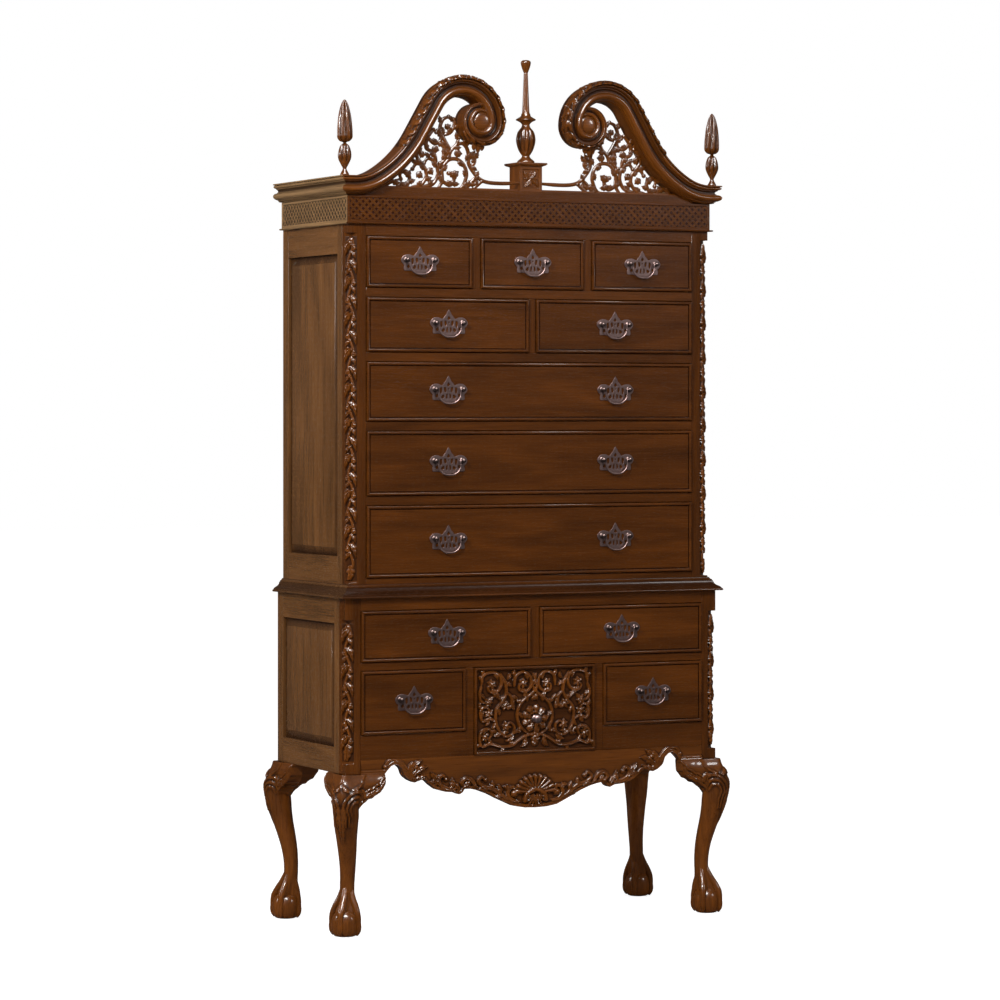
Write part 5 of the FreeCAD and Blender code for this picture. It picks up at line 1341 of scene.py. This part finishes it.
def cabriole_leg():
    """The right front leg.  Its rings are squares at the case and round at the ankle: the
    radius at an angle is size / (|cos|^p + |sin|^p)^(1/p), with p falling from 7 to 2."""
    knots = np.array([  # height, place along the diagonal, size, squareness
        (CASE_FOOT, -32, 34.5, 7), (386, -24, 34, 5), (368, -9, 33, 3.2), (348, -2, 33, 2.5),
        (328, 0, 32.4, 2.2), (300, -4, 31.4, 2.1), (274, -9, 29.4, 2), (246, -17, 26.2, 2),
        (214, -27, 23.4, 2), (180, -36, 20.6, 2), (148, -41, 18.8, 2), (122, -42, 18.2, 2),
        (100, -40, 18.6, 2), (82, -36, 20.5, 2), (62, -31, 23, 2), (48, -28, 23, 2)])
    line = curve(knots * (1, 1, 1, 10), 140)
    swing = FOOT_SIDE * np.interp(line[:, 0], [130, 300], [1, 0])[:, None]
    z, place, size, power = line[:, 0], line[:, 1], line[:, 2], np.maximum(line[:, 3] / 10, 2)
    theta = np.linspace(-np.pi, np.pi, 96, endpoint=False)
    world = theta - np.pi / 4
    flat = (np.abs(np.cos(world))[None] ** power[:, None]
            + np.abs(np.sin(world))[None] ** power[:, None]) ** (1 / power[:, None])
    radius = size[:, None] / flat
    fine = knee_carving(theta, z, radius=36)
    fade = np.clip((z - 225) / 20, 0, 1)[:, None] * np.clip((405 - z) / 8, 0, 1)[:, None]
    radius = radius + 0.68 * fine.height * fade
    ankle = np.clip((112 - z) / 40, 0, 1)[:, None]
    radius = radius + ankle * 4.5 * np.cos(4 * theta)[None]
    local = np.stack([place[:, None] + radius * np.cos(theta), swing + radius * np.sin(theta),
                      np.broadcast_to(z[:, None], radius.shape)], axis=2)
    # painted shade and glazing in the hollows of the knee carving
    form = Form().tube(local, along=2, hollow=fine.hollows(2, 1.6) * fade)
    ball = lathe(curve([(20, 0.3), (27, 2.6), (33, 12), (35, 27), (33.5, 42), (27, 56),
                        (12, 66), (0.5, 68)], 30), (-FOOT_IN, FOOT_SIDE, 0), 48)
    form.tube(ball, along=2)
    claw = np.array([  # distance from the ball's axis, height, radius
        (9, 126, 6), (12, 110, 7.4), (17, 93, 8.4), (25, 76, 8.6), (31.5, 60, 8.2),
        (35, 46, 7.2), (35.5, 34, 6.8), (35.5, 24, 7.6), (34.5, 13, 6.4), (31, 3, 2.6)])
    reach, height, thick = curve(claw, 48).T
    lean = np.interp(height, [58, 124], [-FOOT_IN, -41.5])
    for quarter in range(4):
        out = ray(quarter * np.pi / 2)
        path = np.column_stack([reach * out[0] + lean, reach * out[1] + FOOT_SIDE, height])
        form.rod(path, circle(14, 1.0, 1.0), scale=thick, facing=(-out[1], out[0], 0))
    corner = np.array([BASE_HALF, BASE_FRONT])
    return form.changed(lambda points: np.column_stack(
        [corner + points[:, :1] * OUTWARD + points[:, 1:2] * ACROSS, points[:, 2]]))


def knee_ear():
    """The bracket beside the right front knee: from its thin end to the leg, rings that hang
    from the case, swell outwards and end in a rolled lower edge."""
    thick = 24.0
    stations = np.array([  # distance from the corner, lower edge, swell
        (106, 397, 3), (104, 374, 7), (98, 363, 10), (86, 352, 13), (68, 342, 15),
        (50, 334, 16), (36, 324, 16), (24, 310, 14), (10, 298, 11)])
    line = curve(stations, 70)
    share = np.linspace(0, 1, 36)[None]
    scallops = 3.0 * np.abs(np.sin(np.linspace(0, 6 * np.pi, 70)))
    lower = (line[:, 1] + scallops * np.clip(line[:, 0] / 30 - 1, 0, 1))[:, None]
    z = lower + (CASE_FOOT - lower) * share
    bulge = line[:, 2:3] * np.sin(np.pi * np.clip(0.16 + share * 0.72, 0, 1)) ** 0.8
    x = np.broadcast_to(BASE_HALF - line[:, :1], z.shape)
    work = Carving(x, z)
    edge = np.column_stack([BASE_HALF - line[:, 0], lower[:, 0]])
    for rise, wide, tall in ((5, 5.5, 6.0), (15, 4.5, 4.5), (24, 3.6, 3.2)):
        strand = edge[11:] + (0, rise)
        work.stroke(strand, np.linspace(0.5, 1, len(strand)) * wide, tall, gouge=0.25)
    for root, tip in (((-78, 358), (-104, 382)), ((-88, 366), (-106, 394)),
                      ((-62, 350), (-90, 366)), ((-44, 346), (-66, 362))):
        work.leaf(np.add(root, (BASE_HALF, 0)), np.add(tip, (BASE_HALF, 0)), 7, 6.5, 2, 0.1)
    coil = spiral((BASE_HALF - 30, 352), 15, 4.5, 200, -1.3, 40)
    work.stroke(coil, np.linspace(5.5, 3, 40), 7.0, gouge=0.35)
    work.boss(coil[-1], 4.5, 8)
    y = BASE_FRONT - bulge - work.height
    front = np.stack([x, y, z], axis=2)
    back = front[:, [-1, 0]].copy()
    back[..., 1] = BASE_FRONT + thick
    # painted shade and glazing in the hollows of the ear's carving
    hollow = np.hstack([work.hollows(2, 1.6), np.zeros((len(x), 2))])
    return Form().tube(np.concatenate([front, back], axis=1), hollow=hollow)


def legs():
    """Four legs, each with its two ears, mirrored from the right front one."""
    ear = knee_ear()
    corner = BASE_HALF + BASE_FRONT
    side_ear = ear.changed(lambda points: np.stack(
        [corner - points[:, 1], corner - points[:, 0], points[:, 2]], axis=1))
    leg = cabriole_leg().join(ear, side_ear)
    leg.join(leg.mirrored())
    leg.join(leg.mirrored(1))
    return leg.build("cabriole_legs", "carved")


APRON_EDGE = [(0, 299), (30, 300), (60, 305), (104, 325), (130, 338), (160, 349), (184, 354),
              (199, 354), (204, 346), (213, 341), (226, 347), (250, 349), (275, 356),
              (292, 368), (306, 381), (322, 382), (337, 376), (350, 382), (362, 391),
              (367, 398), (372, 412), (382, 421), (392, 424), (402, 420), (412, 410),
              (418.5, CASE_FOOT)]


def apron():
    """The shaped apron: a board between its carved lower edge and the drawers, with a shell
    in the middle, curls and leaves along the edge and a raised bead that follows it."""
    low, high = extent("apron")
    edge = np.array(APRON_EDGE)
    half = high[0]
    x = np.linspace(-half, half, 600)
    bottom = np.interp(np.abs(x), edge[:, 0], edge[:, 1])
    share = np.linspace(0, 1, 66)[:, None] ** 1.25
    z = bottom + (high[2] - bottom) * share
    work = Carving(x, z)
    rim = np.column_stack([x, bottom + 3.5])
    bold = np.interp(np.abs(x), [60, 120, 330, 350, 400], [5.5, 4.2, 4.4, 7.5, 7.0])
    work.stroke(rim[::4], bold[::4], bold[::4], gouge=0.3)
    for angle in np.radians(np.linspace(8, 172, 11)):
        out = ray(angle)
        rib = np.array([out * 16, out * (34, 28), out * (52, 42)]) + (0, 336)
        work.stroke(curve(rib, 12), np.linspace(3.0, 6.2, 12), np.linspace(7, 10.5, 12))
    for angle in np.radians(np.linspace(200, 340, 9)):
        out = ray(angle)
        work.leaf(out * 4 + (0, 334), out * 36 + (0, 334), 4.6, 7.5, 1)
    arch = curve([(-30, 318), (-24, 334), (0, 345), (24, 334), (30, 318)], 30)
    work.stroke(arch, 6.0, 11.0, gouge=0.1)
    for side in (1, -1):
        flip = np.array([side, 1])
        curls = [[(48, 316), (66, 320), (78, 334), (72, 350), (58, 350), (56, 340)],
                 [(78, 322), (98, 336), (120, 350), (146, 358), (160, 372), (150, 382),
                  (140, 374)],
                 [(168, 362), (180, 376), (196, 380), (206, 370), (198, 360)],
                 [(226, 354), (246, 356), (264, 366), (270, 382), (258, 390), (250, 380)],
                 [(346, 384), (356, 404), (372, 426), (392, 437), (408, 432), (417, 418)],
                 [(336, 382), (346, 396), (350, 414), (340, 424), (332, 414)]]
        for points in curls:
            line = curve(np.array(points, float) * flip, 40)
            work.stroke(line, np.interp(np.linspace(0, 1, 40), [0, 0.3, 1], [4, 6.5, 4]), 7.5,
                        gouge=0.3)
            work.boss(line[-1], 5.5, 9.0)
        work.boss(flip * (60, 336), 10, 9.5)
        work.boss(flip * (190, 366), 9, 8.0, petals=6)
        for root, tip, wide, bend in (((92, 332), (116, 324), 8, 0.1),
                                      ((100, 338), (104, 362), 8, 0.12),
                                      ((126, 350), (120, 372), 8, 0.12),
                                      ((134, 350), (166, 350), 8, 0.1),
                                      ((176, 360), (160, 354), 6, -0.1),
                                      ((212, 350), (238, 372), 9, 0.1),
                                      ((236, 356), (232, 384), 8, 0.1),
                                      ((264, 366), (296, 376), 9, 0.12),
                                      ((268, 380), (292, 400), 9, -0.1),
                                      ((340, 384), (306, 394), 10, 0.1),
                                      ((342, 392), (300, 414), 11, -0.12),
                                      ((346, 404), (316, 432), 9, -0.1),
                                      ((72, 346), (92, 356), 7, 0.1)):
            work.leaf(flip * root, flip * tip, wide, 7.5, 3, bend * side)
    y = low[1] - work.height
    front = np.stack([work.u, y, z], axis=2)
    back = front[[-1, 0]].copy()
    back[..., 1] = high[1]
    rings = np.concatenate([front, back], axis=0).transpose(1, 0, 2)
    # painted shade and glazing in the hollows of the apron's carving
    hollow = np.vstack([work.hollows(2), np.zeros((2, len(x)))]).T
    grain = np.stack([rings[..., 0], rings[..., 2], rings[..., 1] * 0], axis=2)
    return Form().tube(rings, hollow=hollow, grain=grain, seed=1.0).build("apron", "carved")


def post_carving():
    """The canted corner of each front post, carved its whole width: a stem that sways from
    side to side, a lobed leaf across each bend, a curl behind it, a bud at the top and a
    hanging leaf at the foot."""
    form = Form()
    wide, cut, pitch, proud, buried = 16.2, 23.0, 44.0, 0.35, -0.6
    spans = [  # half width and front of the case, height of the carving's foot and head
        (UPPER_HALF, UPPER_FRONT, 880.0, 1738.0), (BASE_HALF, BASE_FRONT, 434.0, 778.0)]
    for half, front, low, high in spans:
        v = np.arange(low, high, 1.4)
        work = Carving(np.linspace(-wide, wide, 46), v)
        stem = np.column_stack([6.5 * np.sin((v - high) * np.pi / pitch), v])[4:-4:3]
        work.stroke(stem, 3.6, 6.0, gouge=0.2)
        for number in range(int((high - low - 30) // pitch)):
            head = high - 16 - number * pitch
            sway = (-1) ** number
            coil = spiral((-sway * 9, head - 15), 6.2, 2.0, 90, -1.1 * sway, 24)
            work.stroke(coil, np.linspace(3.4, 2.2, 24), 6.5, gouge=0.2)
            work.boss(coil[-1], 3.2, 8.0)
            work.leaf((-sway * 5, head), (sway * 14, head - 36), 8.5, 8.5, 3, 0.16 * sway)
            work.leaf((sway * 3, head - 22), (-sway * 13, head - 42), 6.0, 7.0, 2, -0.16 * sway)
            work.leaf((sway * 6, head + 4), (sway * 14, head - 16), 5.0, 6.0, 2, 0.1)
        work.leaf((0, low + 40), (0, low + 2), 12, 8.0, 3)
        work.leaf((0, high - 22), (0, high - 2), 9, 8.0, 2)
        work.boss((0, high - 20), 8, 8.5, petals=5)
        lift = np.full(work.height.shape, proud)
        lift[[0, -1]] = lift[:, [0, -1]] = buried
        middle = np.array([half - cut / 2, front + cut / 2])
        place = middle + (work.height + lift)[..., None] * OUTWARD + work.u[..., None] * ACROSS
        grid = np.concatenate([place, work.v[..., None]], axis=2)
        # painted shade and glazing in the carving's hollows, and on its flat ground
        form.grid(grid, facing=(1, -1, 0), hollow=work.hollows(2, ground=0.8), along=2)
    return form.join(form.mirrored()).build("post_carving", "carved")


# ---------------------------------------------------------------- sizes and colours
def wood(label, text, *shade):
    """A colour property that starts at a shade given as it looks on screen, 0 to 255."""
    return bpy.props.FloatVectorProperty(name=label, description=text, subtype="COLOR", size=3,
                                         default=rgb(*shade)[:3], min=0, max=1)


class HighboyFinishes(bpy.types.PropertyGroup):
    """Colours of the wood."""
    front: wood("Front wood", "Mahogany of the drawer fronts and rails", 82, 42, 7)
    carved: wood("Carved wood", "Mahogany of the legs, scrolls and carving", 104, 55, 10)
    # partly painted sheen: paler and greyer than the front wood, partly the sides' own tone and
    # partly for the grazing sheen on them
    side: wood("Side wood", "Mahogany of the sides and cornices", 106, 70, 38)
    # painted sheen: a paler copy of the mahogany for the side mouldings, for the grazing sheen
    # that lies on them
    pale: wood("Sheen wood", "Mahogany of the side mouldings, brightened by light", 140, 108, 72)
    # glazing and painted shade: this colour fills the pores and, by the hollow mark, darkens
    # recesses and shadowed faces
    glaze_and_shade: wood("Glaze", "Dark glaze left in the hollows", 30, 11, 3)


class HighboyStage(bpy.types.PropertyGroup):
    """Camera and lamps."""
    distance: bpy.props.FloatProperty(
        name="Camera distance", description="From the origin to the camera, on the floor plan",
        subtype="DISTANCE", unit="LENGTH", default=9.806, min=1)
    height: bpy.props.FloatProperty(
        name="Camera height", description="Height of the level camera",
        subtype="DISTANCE", unit="LENGTH", default=1.30775, min=0)
    lens: bpy.props.FloatProperty(
        name="Lens", description="Focal length of the camera in millimetres",
        default=136.62, min=10)
    lamp_power: bpy.props.FloatProperty(
        name="Lamp power", description="Power of the main soft lamp", subtype="POWER",
        default=175.0, min=0)


# ---------------------------------------------------------------- stage
LAMPS = [  # place, aim and size in metres, share of the main lamp's power, lights matt wood
    ((-3.5, -2.55, 3.3), (0, 0, 1.15), 0.6, 0.78, True),
    ((3.2, -4.4, 3.1), (0, 0, 1.2), 0.8, 0.22, True),
    ((-0.6, -3.4, 3.9), (0, 0, 1.2), 0.8, 0.2, True),
    ((-4.8, 2.2, 2.8), (0, 0, 1.5), 1.4, 0.4, True),
    ((-1.2, -2.6, 4.6), (0, -0.3, 1.6), 2.3, 2.5, False)]

CAMERA_SIDE = -4.30096  # metres along X
CAMERA_TURN = 26.055  # degrees to the right of the way in
CAMERA_SHIFT = -0.0911  # of the picture's width
SENSOR_WIDTH = 36.0
FLOOR_REACH = 30.0


def pale_floor():
    """A floor that glows almost white to the camera, keeps a faint shadow, and is dim to
    reflections, so that the polished fronts stay deep."""
    graph = Graph("pale floor")
    shade = graph.mix(graph.add("LightPath", out="Is Glossy Ray"), (0.6, 0.6, 0.6, 1),
                      (0.06, 0.06, 0.06, 1))
    matt = graph.add("BsdfDiffuse", {"Color": shade})
    glow = graph.add("LightPath", out="Is Camera Ray") * 0.86
    light = graph.add("Emission", {"Color": (1, 1, 1, 1), "Strength": glow})
    both = graph.add("AddShader", {0: matt, 1: light})
    graph.add("OutputMaterial", {"Surface": both})
    return graph.owner


def studio():
    """A white surround for the camera, soft light for the wood, and little to reflect."""
    graph = Graph("studio", bpy.data.worlds.new("studio"))
    strength = (0.3 + graph.add("LightPath", out="Is Camera Ray") * 0.7
                - graph.add("LightPath", out="Is Glossy Ray") * 0.26)
    light = graph.add("Background", {"Color": (1, 1, 1, 1), "Strength": strength})
    graph.add("OutputWorld", {"Surface": light})
    return graph.owner


# ---------------------------------------------------------------- operators
class HIGHBOY_OT_stage(bpy.types.Operator):
    """Set out the floor, the soft lamps and the camera"""
    bl_idname = "highboy.stage"
    bl_label = "Stage"

    def execute(self, context):
        settings = context.scene.highboy_stage
        camera = bpy.data.objects.new("camera", bpy.data.cameras.new("camera"))
        way_in = math.sqrt(settings.distance ** 2 - CAMERA_SIDE ** 2)
        camera.location = (CAMERA_SIDE, -way_in, settings.height)
        camera.rotation_euler = (math.radians(90), 0, -math.radians(CAMERA_TURN))
        camera.data.sensor_width = SENSOR_WIDTH
        camera.data.lens = settings.lens
        camera.data.shift_y = CAMERA_SHIFT
        context.scene.collection.objects.link(camera)
        context.scene.camera = camera
        floor_mesh = bpy.data.meshes.new("floor")
        corners = [(x * FLOOR_REACH, y * FLOOR_REACH, 0)
                   for x, y in ((-1, -1), (1, -1), (1, 1), (-1, 1))]
        floor_mesh.from_pydata(corners, [], [(0, 1, 2, 3)])
        floor = bpy.data.objects.new("floor", floor_mesh)
        context.scene.collection.objects.link(floor)
        floor_mesh.materials.append(pale_floor())
        context.scene.world = studio()
        for number, (place, aim, size, share, on_matt) in enumerate(LAMPS):
            data = bpy.data.lights.new(f"soft_lamp_{number}", "AREA")
            data.shape = "DISK"
            data.size = size
            data.energy = settings.lamp_power * share
            lamp = bpy.data.objects.new(data.name, data)
            lamp.location = place
            lamp.visible_diffuse = on_matt
            lamp.rotation_euler = (Vector(aim) - Vector(place)).to_track_quat("-Z", "Y").to_euler()
            context.scene.collection.objects.link(lamp)
        context.scene.view_settings.view_transform = "Standard"
        return {"FINISHED"}


class HIGHBOY_OT_case(bpy.types.Operator):
    """Dress the posts, sides, face frames and the boards inside"""
    bl_idname = "highboy.case"
    bl_label = "Case"

    def execute(self, context):
        dressed_copy("corner_posts", "front")
        panelled_sides("upper_case_sides", top_rail=165, foot_rail=102)
        panelled_sides("base_case_sides", top_rail=64, foot_rail=64)
        dressed_copy("upper_face_frame", "front")
        dressed_copy("base_face_frame", "front")
        for node in ("back_panels", "case_boards", "drawer_runners"):
            dressed_copy(node, "inner")
        return {"FINISHED"}


class HIGHBOY_OT_drawers(bpy.types.Operator):
    """Make every drawer, the carved one among them"""
    bl_idname = "highboy.drawers"
    bl_label = "Drawers"

    def execute(self, context):
        for name in DRAWERS:
            if name != CARVED:
                drawer(name)
        carved_drawer()
        return {"FINISHED"}


class HIGHBOY_OT_handles(bpy.types.Operator):
    """Hang the handles and fit the knob"""
    bl_idname = "highboy.handles"
    bl_label = "Handles"

    def execute(self, context):
        hang_handles()
        turn_knob()
        return {"FINISHED"}


class HIGHBOY_OT_mouldings(bpy.types.Operator):
    """Run the waist moulding, the side cornices and the frieze"""
    bl_idname = "highboy.mouldings"
    bl_label = "Mouldings"

    def execute(self, context):
        waist()
        cornices()
        frieze()
        return {"FINISHED"}


class HIGHBOY_OT_pediment(bpy.types.Operator):
    """Build the scrolls, the pierced vines, the plinth and the finials"""
    bl_idname = "highboy.pediment"
    bl_label = "Pediment"

    def execute(self, context):
        pediment_scrolls()
        vine_work()
        plinth()
        finials()
        return {"FINISHED"}


class HIGHBOY_OT_base(bpy.types.Operator):
    """Carve the legs, the apron and the canted posts"""
    bl_idname = "highboy.base"
    bl_label = "Legs and apron"

    def execute(self, context):
        legs()
        apron()
        post_carving()
        return {"FINISHED"}


class HIGHBOY_PT_panel(bpy.types.Panel):
    """Everything that dresses the highboy"""
    bl_label = "Highboy"
    bl_idname = "HIGHBOY_PT_panel"
    bl_space_type = "VIEW_3D"
    bl_region_type = "UI"
    bl_category = "Highboy"

    def draw(self, context):
        """List every setting, then a button for each operator."""
        for group in (context.scene.highboy_finishes, context.scene.highboy_stage):
            for prop in group.bl_rna.properties:
                if prop.identifier not in ("name", "rna_type"):
                    self.layout.prop(group, prop.identifier)
        for operator in OPERATORS:
            self.layout.operator(operator.bl_idname)


OPERATORS = (HIGHBOY_OT_stage, HIGHBOY_OT_case, HIGHBOY_OT_drawers, HIGHBOY_OT_handles,
             HIGHBOY_OT_mouldings, HIGHBOY_OT_pediment, HIGHBOY_OT_base)
CLASSES = (HighboyFinishes, HighboyStage, *OPERATORS, HIGHBOY_PT_panel)


def register():
    """Add the classes and the scene's settings to Blender."""
    for item in CLASSES:
        bpy.utils.register_class(item)
    bpy.types.Scene.highboy_finishes = bpy.props.PointerProperty(type=HighboyFinishes)
    bpy.types.Scene.highboy_stage = bpy.props.PointerProperty(type=HighboyStage)


def unregister():
    """Take them out again."""
    del bpy.types.Scene.highboy_finishes
    del bpy.types.Scene.highboy_stage
    for item in reversed(CLASSES):
        bpy.utils.unregister_class(item)


def main():
    """Run every operator in order."""
    register()
    for operator in OPERATORS:
        group, name = operator.bl_idname.split(".")
        getattr(getattr(bpy.ops, group), name)()


if __name__ == "__main__":
    main()
